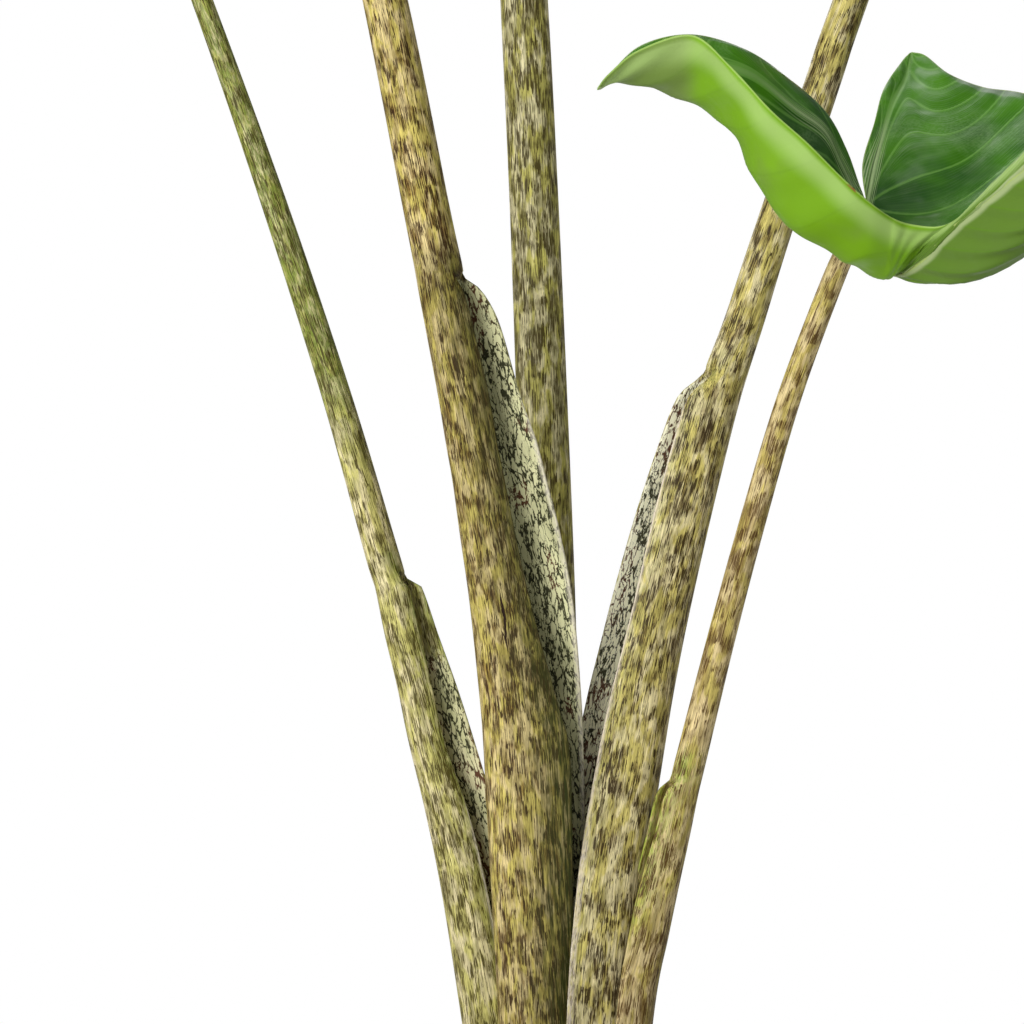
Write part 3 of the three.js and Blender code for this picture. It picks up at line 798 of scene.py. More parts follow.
def make_piece(name: str, points: Array, faces: list, material: bpy.types.Material,
               values: dict[str, Array] | None = None, outward: bool = True) -> bpy.types.Object:
    """Smooth mesh object from points in millimetres.

    Args:
        name: the piece's name.
        points: its points.
        faces: corner numbers of its faces.
        material: its finish.
        values: named values or vectors that the points carry.
        outward: whether its faces still have to be turned outward.

    Returns:
        The object, at the origin.
    """
    mesh = bpy.data.meshes.new(name)
    mesh.from_pydata((np.asarray(points) * MM).tolist(), [], faces)
    for key, value in (values or {}).items():
        kind, part = ("FLOAT", "value") if value.ndim == 1 else ("FLOAT_VECTOR", "vector")
        layer = mesh.attributes.new(key, kind, "POINT")
        layer.data.foreach_set(part, value.astype(np.float32).ravel())
    mesh.shade_smooth()
    mesh.materials.append(material)
    if outward:
        shape = bmesh.new()
        shape.from_mesh(mesh)
        bmesh.ops.recalc_face_normals(shape, faces=shape.faces)
        shape.to_mesh(mesh)
        shape.free()
    return new_object(name, mesh)


def settle(piece: bpy.types.Object, slot: str, *nodes: str) -> None:
    """Fix a finished piece to the body, hide the nodes it stands for, and log its faces and slot.

    Args:
        piece: the piece.
        slot: its material slot.
        nodes: the nodes it stands for.
    """
    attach(piece, BODY)
    if nodes:
        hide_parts(*nodes)
    LOG.info("%s: %d faces, slot %s", piece.name, len(piece.data.polygons), slot)


def make_plain(piece: bpy.types.Object) -> None:
    """Turn a piece and its modifiers into one plain mesh.

    Args:
        piece: the piece.
    """
    plain = bpy.data.meshes.new_from_object(piece.evaluated_get(bpy.context.evaluated_depsgraph_get()))
    piece.modifiers.clear()
    piece.data = plain


@dataclass
class Stalk:
    """Leaf stalk: round above, and open as a channel with two wings where it sheathes its neighbours.

    The rows run from the foot up: height, x, y, radius, open, reach of the near wing and of the far wing, and
    how wide the near wing clasps, in radii. The edges give the width of each wing's pale edge at some
    heights. Painted shade darkens the near wing by its tip, whose inside fades in behind the tip. The net
    ends, or the flush takes over, at the given heights. The seed moves the pattern, so that no two stalks are
    marked alike.
    """

    name: str
    node: str
    slot: str
    side: int
    turn: float
    rows: list[list[float]]
    finish: StalkFinish
    seed: int
    near_edge: Pairs = ((185, 0.0),)
    far_edge: Pairs = ((185, 0.0),)
    # heights and strengths of the painted shade on the near wing
    painted_shade: Pairs = ((185, 0.0),)
    painted_shade_width: float = 11.0
    fade: float = 0.0
    netted_to: float = 900.0
    flush_and_shade_width: float = 4.5
    flush_foot: float = 120.0
    flush_crest: float = 900.0
    step: float = 2.2
    back_points: int = 72
    channel_points: int = 44
    cap_points: int = 3
    tip_angle: float = 42.0
    fullness: float = 0.62
    depth: float = -0.25
    edge: float = 0.9
    clasp: float = 0.62
    far_clasp: float = 0.58
    seed_shift: float = 61.0

    def stations(self) -> Array:
        """Rows of the stalk at even heights.

        Returns:
            One row for each height, with all eight values.
        """
        rows = np.array([row if len(row) == 8 else [*row, self.clasp] for row in self.rows], float)
        fine = np.linspace(0, len(rows) - 1, 40 * len(rows))
        heights = along(rows, fine)[:, 0]
        count = int((heights[-1] - heights[0]) / self.step) + 1
        u = np.interp(np.linspace(heights[0], heights[-1], count), heights, fine)
        stations = along(rows, u)
        stations[:, 4] = np.interp(u, np.arange(len(rows)), rows[:, 4])
        return stations

    def sections(self, stations: Array) -> Array:
        """Outlines of the stalk around its own axis.

        Args:
            stations: one row for each outline.

        Returns:
            Points (outline, point, x and y), from the far wing's tip round the back to the near wing and back
            through the channel.
        """
        r, near, far, clasp = (stations[:, k : k + 1] for k in (3, 5, 6, 7))
        o = ease(stations[:, 4:5])[..., None]
        tip = math.radians(self.tip_angle)
        a = np.linspace(tip, 2 * math.pi - tip, self.back_points)[None]
        ring = np.stack([r * np.cos(a), r * np.sin(a)], -1)
        behind = a < math.pi
        k = np.clip(np.where(behind, math.pi / 2 - a, a - 1.5 * math.pi) / (math.pi / 2 - tip), 0, 1)
        end_x = np.where(behind, far, near)
        end_y = np.where(behind, self.far_clasp * r, -clasp * r)
        wing = np.stack([(2 * k * (1 - k) * self.fullness + k * k) * end_x,
                         (1 - k * k) * np.where(behind, r, -r) + k * k * end_y], -1)
        back = mix(ring, np.where((k > 0)[..., None], wing, ring), o)
        bottom = mix(np.ones_like(r), self.depth * np.ones_like(r), o[:, 0])
        knots = [(near - 0.2, -clasp * r + self.edge), (0.35 * near, -0.66 * r),
                 (bottom * r, np.zeros_like(r)), (0.3 * far, 0.62 * r),
                 (far - 0.2, self.far_clasp * r - self.edge)]
        guide = np.array([np.concatenate(knot, 1) for knot in knots])
        channel = along(guide, np.linspace(0, 4, self.channel_points)).transpose(1, 0, 2)
        c = (np.arange(self.channel_points) + 0.5) / self.channel_points * 2 * tip - tip
        front = np.stack([r * np.cos(c), r * np.sin(c)], -1)
        channel = mix(front, channel, o)
        near_cap = self.cap(back[:, -1], channel[:, 0], o[:, 0])
        far_cap = self.cap(channel[:, -1], back[:, 0], o[:, 0])
        return np.concatenate([back, near_cap, channel, far_cap], 1)

    def cap(self, start: Array, end: Array, o: Array) -> Array:
        """Rounded edge of a wing, from its outer to its inner face.

        Args:
            start: where the edge starts on each outline.
            end: where it ends.
            o: how open each outline is.

        Returns:
            Points (outline, point, x and y).
        """
        middle, half = (start + end) / 2, (end - start) / 2
        out = np.stack([half[:, 1], -half[:, 0]], -1)
        angles = np.linspace(0, math.pi, self.cap_points + 2)[1:-1]
        return np.stack([middle - half * math.cos(t) + 0.9 * out * math.sin(t) * o for t in angles], 1)

    def build(self) -> bpy.types.Object:
        """Mesh of the stalk, with the values that its skin follows.

        Returns:
            The stalk.
        """
        stations = self.stations()
        flat = self.sections(stations)
        count, points = flat.shape[:2]
        turn = math.radians(self.turn)
        x = self.side * (flat[..., 0] * math.cos(turn) - flat[..., 1] * math.sin(turn)) + stations[:, 1:2]
        y = flat[..., 0] * math.sin(turn) + flat[..., 1] * math.cos(turn) + stations[:, 2:3]
        z = np.repeat(stations[:, :1], points, 1)
        solid = np.stack([x, y, z], -1).reshape(-1, 3)
        faces = grid_quads(count, points, closed=True).tolist()
        last = (count - 1) * points
        faces += [list(range(points))[::-1], [last + k for k in range(points)]]
        skin = self.finish.material(f"{self.name}_skin")
        return make_piece(self.name, solid, faces, skin, self.values(stations, flat))

    def values(self, stations: Array, flat: Array) -> dict[str, Array]:
        """Place along and round the stalk, and how far each point is inside the sheath or near its edges.

        Args:
            stations: one row for each outline.
            flat: the outlines around the stalk's axis.

        Returns:
            Each named value at each point.
        """
        count, points = flat.shape[:2]
        length = np.repeat(lengths(stations[:, [1, 2, 0]])[:, None, None], points, 1)
        place = np.concatenate([flat, length], -1) + [self.seed_shift * self.seed, 0, 0]
        opened = ease(stations[:, 4:5])
        start = self.back_points + self.cap_points
        inner = np.zeros((count, points))
        inner[:, start : start + self.channel_points] = 1.0
        inner[:, self.back_points : start] = inner[:, start + self.channel_points :] = 0.5
        steps = np.linalg.norm(np.roll(flat, -1, 1) - flat, axis=-1)
        girth = np.cumsum(steps, 1) - steps
        whole = steps.sum(1, keepdims=True)
        near_tip = girth[:, self.back_points + 1 : self.back_points + 2]
        far_tip = girth[:, -2:-1]
        near, far = (np.minimum(np.abs(girth - t), whole - np.abs(girth - t)) for t in (near_tip, far_tip))
        margin = np.maximum(self.rim(near, self.near_edge, stations), self.rim(far, self.far_edge, stations))
        margin = margin * opened
        lifted = np.interp(stations[:, 0] - 9, stations[:, 0], opened[:, 0])[:, None]
        # flush by the wing tips: green on most stalks, painted shade on the broad stalk
        flush_and_shade = np.exp(-np.minimum(near, far) / self.flush_and_shade_width) * np.maximum(opened, lifted)
        flush_and_shade = flush_and_shade * ease((stations[:, :1] - self.flush_foot) / 25)
        flush_and_shade = np.maximum(flush_and_shade, ease((stations[:, :1] - self.flush_crest) / 50))
        # painted shade by the near wing's tip, left off most of the channel
        painted_shade = np.interp(stations[:, :1], *zip(*self.painted_shade)) * bell(near, self.painted_shade_width) * opened
        painted_shade[:, start + self.channel_points // 3 :] = 0.0
        if self.fade:
            reach = slice(start, start + self.channel_points // 2)
            inner[:, self.back_points : start] = 0.0
            inner[:, reach] = ease(near[:, reach] / self.fade)
        inner = inner * opened * (1 - ease((stations[:, :1] - self.netted_to) / 14))
        named = {"place": place, "inner": inner, "margin": margin, "flush_and_shade": flush_and_shade, "painted_shade": painted_shade}
        return {k: v.reshape(-1, 3) if v.ndim == 3 else v.ravel() for k, v in named.items()}

    @staticmethod
    def rim(gap: Array, edge: Pairs, stations: Array) -> Array:
        """How pale each point is for its gap to a wing's tip, by the width of the pale edge at its height."""
        width = np.interp(stations[:, :1], *zip(*edge))
        return (1 - ease((gap - width) / 0.5)) * ease(width / 0.3) * (1 - 0.45 * ease((width - 0.4) / 0.8))


@dataclass
class Half:
    """Guide rows of one half of a blade, from the tip of its hind lobe to the tip of its tail."""

    lobe: Array
    body: Array
    flip: bool


@dataclass
class Blade:
    """Blade from guide rows: a thin sheet with ribs beneath, quilted between its side veins."""

    name: str
    node: str
    foot: Point
    halves: list[Half]
    finish: BladeFinish
    vein_gap: float
    row_steps: int
    across_steps: int = 34
    crowding: float = 1.15
    strip_steps: int = 7
    strip_share: float = 0.35
    label_steps: int = 4000
    cells_per_mm: int = 500
    thickness: float = 0.55
    rib_depth: float = 1.9
    rib_width: float = 2.0
    quilt: float = 0.8
    groove_depth: float = 0.16
    channel_depth: float = 0.45
    shoulder: float = 0.25
    ridge: float = 0.25

    def half_sheet(self, half: Half) -> tuple[Array, Array, Array, list]:
        """Sheet of one half.

        Args:
            half: its guide rows.

        Returns:
            Points, leaf values (as leaf_values gives them), depth of the rib, and quads.
        """
        nose = len(half.lobe)
        last = nose + len(half.body) - 1
        u = np.linspace(0, last, last * self.row_steps + 1)
        costa = np.concatenate([half.lobe[:, 1], half.body[:1, 0]])
        sinus = np.concatenate([half.lobe[:, 0], half.body[:1, 0]])
        fore = u > nose
        rib = np.where(fore[:, None], along(half.body[:, 0], np.maximum(u - nose, 0)),
                       along(costa, np.minimum(u, nose)))
        belly = along(np.concatenate([half.lobe[:, 2], half.body[:, 1]]), u)
        margin = along(np.concatenate([half.lobe[:, 3], half.body[:, 2]]), u)
        v = np.linspace(0, 1, self.across_steps)[None, :, None] ** self.crowding
        sheet = (rib[:, None] * (1 - v) * (1 - 2 * v) + belly[:, None] * 4 * v * (1 - v)
                 + margin[:, None] * v * (2 * v - 1))
        run = lengths(rib)
        run = run - np.interp(nose, u, run)
        taper = np.where(fore, 1 - 0.85 * (u - nose) / (last - nose), 0.3 + 0.7 * u / nose)
        back = ~fore
        w = np.linspace(0, 1, self.strip_steps)[None, :, None]
        strip = mix(rib[back][:, None], along(sinus, u[back])[:, None], w)
        parts, total = [], 0
        sheets = ((sheet, v, fore | back, True), (strip, self.strip_share * w, back, False))
        for surface, share, rows, main in sheets:
            faces = grid_quads(*surface.shape[:2]) + total
            faces = faces[:, ::-1] if main != half.flip else faces
            parts.append((surface.reshape(-1, 3), self.leaf_values(surface, share[0, :, 0], run[rows]),
                          np.repeat(taper[rows], surface.shape[1]), faces))
            total += surface.shape[0] * surface.shape[1]
        return tuple(np.concatenate(part) for part in zip(*parts))

    def leaf_values(self, surface: Array, v: Array, run: Array) -> Array:
        """Where each point lies in the leaf.

        The side veins fan out from the stalk. Those of the hind lobe first run beside its rib, then arch over
        and come forward to the margin. Those of the body leave the midrib at an acute angle.

        Args:
            surface: points (along the rib, across, x y z).
            v: share across, from the rib to the margin.
            run: distance of each row along the rib from the stalk, negative on the hind lobe.

        Returns:
            For each point: side vein phase, share across, distance from the rib, pitch of the side veins,
            distance along the rib and distance from the margin.
        """
        label = np.linspace(-14, max(run[-1], 0) / self.vein_gap + 2, self.label_steps)
        bend = np.clip(0.25 * np.exp((label + 2.9) / 1.25), 0.01, 0.45)
        fore = label + 0.9 * np.clip(label / 1.5, 0, 1) * (1 - np.exp(-v[:, None] / 0.2))
        hind = label * (1 - np.exp(-(v[:, None] + 0.004) / bend))
        reach = self.vein_gap * (np.where(label < 0, hind, fore) + 2.4 * v[:, None] ** 2.2)
        phase = np.stack([np.interp(run, row, label) for row in reach], 1)
        steps = np.linalg.norm(np.diff(surface, axis=1), axis=-1)
        out = np.concatenate([np.zeros((len(run), 1)), np.cumsum(steps, 1)], 1)
        lengthwise = np.maximum(np.linalg.norm(np.gradient(surface, axis=0), axis=-1), 0.02)
        crosswise = np.maximum(np.linalg.norm(np.gradient(surface, axis=1), axis=-1), 0.02)
        slope = np.hypot(np.gradient(phase, axis=0) / lengthwise, np.gradient(phase, axis=1) / crosswise)
        pitch = np.clip(1 / np.maximum(slope, 1e-4), 0.5, 3 * self.vein_gap)
        share, rows = (np.broadcast_to(x, phase.shape) for x in (v[None], run[:, None]))
        return np.stack([phase, share, out, pitch, rows, out[:, -1:] - out], -1).reshape(-1, 6)

    def build(self) -> bpy.types.Object:
        """Mesh of the blade, with the values that its finish follows.

        Returns:
            The blade.
        """
        sheets = [self.half_sheet(half) for half in self.halves]
        points, leaf, deep = (np.concatenate([sheet[k] for sheet in sheets]) for k in range(3))
        faces = np.concatenate([sheets[0][3], sheets[1][3] + len(sheets[0][0])])
        cells = np.round(points * self.cells_per_mm)
        _, first, index = np.unique(cells, axis=0, return_index=True, return_inverse=True)
        points, leaf, deep = points[first], leaf[first], deep[first]
        faces = without_doubles(index.reshape(-1)[faces].tolist())
        normal = self.normals(points, faces)
        upper, lower = self.relief(leaf, deep)
        count = len(points)
        solid = np.concatenate([points + normal * upper[:, None], points - normal * lower[:, None]])
        whole = faces + [[v + count for v in f[::-1]] for f in faces]
        edges = {(a, b) for f in faces for a, b in zip(f, f[1:] + f[:1])}
        whole += [[a, a + count, b + count, b] for a, b in sorted(edges) if (b, a) not in edges]
        both = np.concatenate([leaf, leaf])
        values = {"leaf": both[:, :3], "pitch": both[:, 3], "run": both[:, 4], "rim": both[:, 5],
                  "side": np.repeat([0.0, 1.0], count)}
        material = self.finish.material(f"{self.name}_faces")
        return make_piece(self.name, solid + np.array(self.foot), whole, material, values, outward=False)

    @staticmethod
    def normals(points: Array, faces: list[list[int]]) -> Array:
        """Unit normal of the sheet at each point.

        Args:
            points: points of the sheet.
            faces: corner numbers of its faces.

        Returns:
            One normal for each point.
        """
        total = np.zeros_like(points)
        for size in (3, 4):
            part = np.array([f for f in faces if len(f) == size])
            if len(part):
                a, b, c, d = (points[part[:, k]] for k in (0, 1, 2, size - 1))
                face = np.cross(c - a, d - b) if size == 4 else np.cross(b - a, c - a)
                for k in range(size):
                    np.add.at(total, part[:, k], face)
        return total / np.maximum(np.linalg.norm(total, axis=1, keepdims=True), TINY)

    def relief(self, leaf: Array, deep: Array) -> tuple[Array, Array]:
        """How far the upper face stands above the sheet, and the lower face below it.

        Args:
            leaf: leaf values of each point.
            deep: depth of the rib at each point.

        Returns:
            Both heights at each point, in millimetres.
        """
        phase, share, ribward, pitch, _, rim = leaf.T
        away = np.abs(phase - np.round(phase))
        distance = away * pitch
        outward_fade = ease(ribward / 8) * ease(rim / 3)
        swell = self.quilt * np.sin(math.pi * away) ** 2 * outward_fade * np.clip(pitch / self.vein_gap, 0, 1)
        groove = self.groove_depth * bell(distance, 0.7) * outward_fade
        shoulder = self.shoulder * deep * bell(ribward - 1.9, 0.9)
        channel = self.channel_depth * deep * bell(ribward, 0.8) - shoulder
        thick = self.thickness * mix(0.5, 1.0, ease(rim / 1.5))
        rib = self.rib_depth * deep * bell(ribward, self.rib_width)
        ridge = self.ridge * (1 - 0.8 * share) * bell(distance, 0.8) * ease(rim / 3)
        return swell - groove - channel, thick + rib + ridge - swell


@dataclass
class BroadBlade:
    """How a large blade is held: its size, its yaw, pitch and roll in degrees, and how it bends and waves."""

    size: float
    yaw: float
    pitch: float
    roll: float
    lift: float
    droop: float
    tail: float
    twist: float
    cup: tuple[float, float]
    curl: tuple[float, float]
    wave: float
    bend_steps: int = 24

    def rise(self, x: float) -> float:
        """Slope of the midrib at x along the flat blade, in radians.

        Args:
            x: distance from the stalk, negative on the hind lobes.

        Returns:
            The slope.
        """
        if x < 0:
            return -math.radians(self.lift) * float(ease(-x / 105))
        dropped = -math.radians(self.droop) * float(ease(x / 190))
        return dropped + math.radians(self.tail) * float(ease((x - 170) / 130))

    def held(self, x: float, y: float, z: float) -> list[float]:
        """Point of the flat blade, bent along the midrib and turned as the blade is held.

        Args:
            x: place along the flat blade.
            y: place across it.
            z: height over it.

        Returns:
            The point, from the top of the stalk.
        """
        steps = self.bend_steps
        slopes = [self.rise(x * (i + 0.5) / steps) for i in range(steps)]
        ax = sum(math.cos(t) for t in slopes) * x / steps
        az = sum(math.sin(t) for t in slopes) * x / steps
        w = math.radians(self.twist) * float(ease((x - 120) / 180))
        t = self.rise(x)
        ty, tz = y * math.cos(w) - z * math.sin(w), y * math.sin(w) + z * math.cos(w)
        point = np.array([ax - tz * math.sin(t), ty, az + tz * math.cos(t)]) * self.size
        yaw, pitch, roll = (math.radians(v) for v in (self.yaw, -self.pitch, self.roll))
        return (turning(yaw, 0, 1) @ turning(pitch, 2, 0) @ turning(roll, 1, 2) @ point).tolist()

    def row(self, rib: tuple, edge: tuple, k: int, hand: int) -> list[list[float]]:
        """Rib, belly and margin of one guide row, on an arc that starts at the cup and turns by the curl.

        Args:
            rib: rib of the row on the flat blade.
            edge: its outer margin.
            k: number of the row, which sets its wave.
            hand: 1 for one half and -1 for the other.

        Returns:
            The three points.
        """
        h = 0 if hand > 0 else 1
        dx, dy = edge[0] - rib[0], edge[1] - rib[1]
        w = math.hypot(dx, dy)
        slim = min(1.0, w / 60)
        a = math.radians(mix(48, self.cup[h], slim))
        c = math.radians(self.curl[h]) * slim + 0.02
        points = []
        for v in (0.0, 0.5, 1.0):
            out = (math.sin(a + c * v) - math.sin(a)) / c if w > 0 else 0.0
            high = w * (math.cos(a) - math.cos(a + c * v)) / c if w > 0 else 0.0
            ripple = self.wave * v * v * slim * math.sin(1.9 * k + 2.2 * h)
            points.append(self.held(rib[0] + dx * out, hand * (rib[1] + dy * out), high + ripple))
        return points

    def halves(self) -> list[Half]:
        """Guide rows of both halves, from the flat outline of the kind.

        Returns:
            Both halves.
        """
        halves = []
        for hand in (1, -1):
            lobe = []
            for k, (sinus, rib, edge) in enumerate(FLAT_LOBE):
                w = math.hypot(sinus[0] - rib[0], sinus[1] - rib[1])
                inner = (mix(rib[0], sinus[0], 0.85), mix(rib[1], sinus[1], 0.85))
                lobe.append([self.held(inner[0], hand * inner[1], 0.5 * w), *self.row(rib, edge, k, hand)])
            lobe[0] = [lobe[0][1]] * 4
            body = [self.row(rib, edge, k + len(FLAT_LOBE), hand) for k, (rib, edge) in enumerate(FLAT_BODY)]
            halves.append(Half(np.array(lobe), np.array(body), hand < 0))
        return halves


# Low blade as it hangs: guide rows in millimetres from the top of its stalk, from the tip of the hind lobe to
# the tip of the tail. Rows of the hind lobe: sinus margin, rib, belly and outer margin.
LOW_NEAR_LOBE = [
    [[-74.2, -25, 31.5], [-74.2, -25, 31.5], [-74.2, -25, 31.5], [-74.2, -25, 31.5]],
    [[-71, -14, 35], [-71, -18, 34.5], [-70, -25, 33.3], [-71, -32, 35.6]],
    [[-62, -8, 43.2], [-62, -13, 39], [-62, -26, 32.5], [-63, -40, 42]],
    [[-48, 0, 46.2], [-48, -10, 38.5], [-48, -28, 27.6], [-49, -48, 46]],
    [[-33, 4, 42], [-33, -8, 36], [-37.3, -30, 19.2], [-39, -54, 38]],
    [[-21, 8, 34], [-19.5, -6, 26], [-29.2, -38, 2.8], [-28, -60, 26]],
    [[-11, 8, 25], [-11.5, -2, 20], [-19.6, -38, -7.5], [-18, -62, 17]],
    [[-5.5, 6, 15], [-7, 0, 11], [-10.5, -36, -13], [-9, -62, 8]],
    [[-2, 2, 5], [-3, 0, 2.5], [-3, -34, -17], [-1, -60, 1]],
]
LOW_FAR_LOBE = [
    [[15.2, 75, 41.3], [15.2, 75, 41.3], [15.2, 75, 41.3], [15.2, 75, 41.3]],
    [[12.4, 70, 38.6], [13, 62, 34], [16.5, 60, 34], [19, 68, 40.3]],
    [[6.6, 52, 31], [8.6, 44, 26.5], [18, 34, 23], [25, 54, 35.2]],
    [[3.2, 34, 21.5], [5.3, 28, 18], [20, 14, 13], [34, 46, 31.6]],
    [[-0.8, 14, 10.2], [2.4, 12, 9], [21.7, -2, 2], [42.5, 38, 30.4]],
]
# Body rows: belly and margin of the near half, midrib, belly and margin of the far half
LOW_BODY = [
    [[3, -30, -19.5], [5, -56, -3], [0, 0, -1], [21.7, -18, -6], [53, 22, 28]],
    [[6.5, -35, -18], [10.5, -54, -4.7], [3.6, -12, -13], [25, -34, -10], [62, 0, 26]],
    [[10.5, -42, -14], [17.5, -56, -5], [6.4, -25, -18.7], [30.5, -50, -12.6], [67, -25, 25]],
    [[16, -55, -10], [23, -62, -2], [12.5, -45, -15], [36.5, -68, -13.9], [71, -52, 25]],
    [[23, -68, -3], [30, -72, 6], [20, -62, -6], [42, -86, -7.5], [74, -80, 27]],
    [[33, -84, 7], [38, -86, 15], [30.5, -80, 4], [48, -102, 1], [76, -105, 30]],
    [[45, -102, 19], [48, -102, 26], [43.6, -100, 16], [56, -115, 11], [78, -125, 34]],
    [[61, -119, 29], [63, -119, 33], [60, -118, 27], [66, -122, 25], [80, -134, 40]],
    [[78.5, -134, 39.5], [80, -134, 41], [78, -134, 38], [79, -135, 38], [84, -139, 45]],
    [[96, -148, 50], [96, -148, 50], [96, -148, 50], [96, -148, 50], [96, -148, 50]],
]
# Broad blade laid flat, x toward the tail and y to one side: sinus margin, rib, outer margin
FLAT_LOBE = [
    [(-95, 60), (-95, 60), (-95, 60)],
    [(-91, 49), (-87, 54), (-93, 71)],
    [(-73, 36), (-66, 42), (-78, 88)],
    [(-48, 23), (-42, 27), (-53, 99)],
    [(-22, 10), (-18, 13), (-24, 104)],
]
# Rib and outer margin of the broad blade's body and tail
FLAT_BODY = [
    [(0, 0), (8, 102)], [(25, 0), (42, 92)], [(50, 0), (76, 77)], [(80, 0), (108, 60)], [(110, 0), (137, 43)],
    [(140, 0), (162, 27)], [(165, 0), (181, 15)], [(190, 0), (200, 9)], [(225, 0), (231, 6.5)],
    [(265, 0), (269, 4.5)], [(300, 0), (300, 0)],
]


def low_halves() -> list[Half]:
    """Guide rows of both halves of the low blade.

    Returns:
        Both halves.
    """
    body = np.array(LOW_BODY, float)
    return [Half(np.array(LOW_FAR_LOBE, float), body[:, [2, 3, 4]], False),
            Half(np.array(LOW_NEAR_LOBE, float), body[:, [2, 0, 1]], True)]


SEAT = 0.8


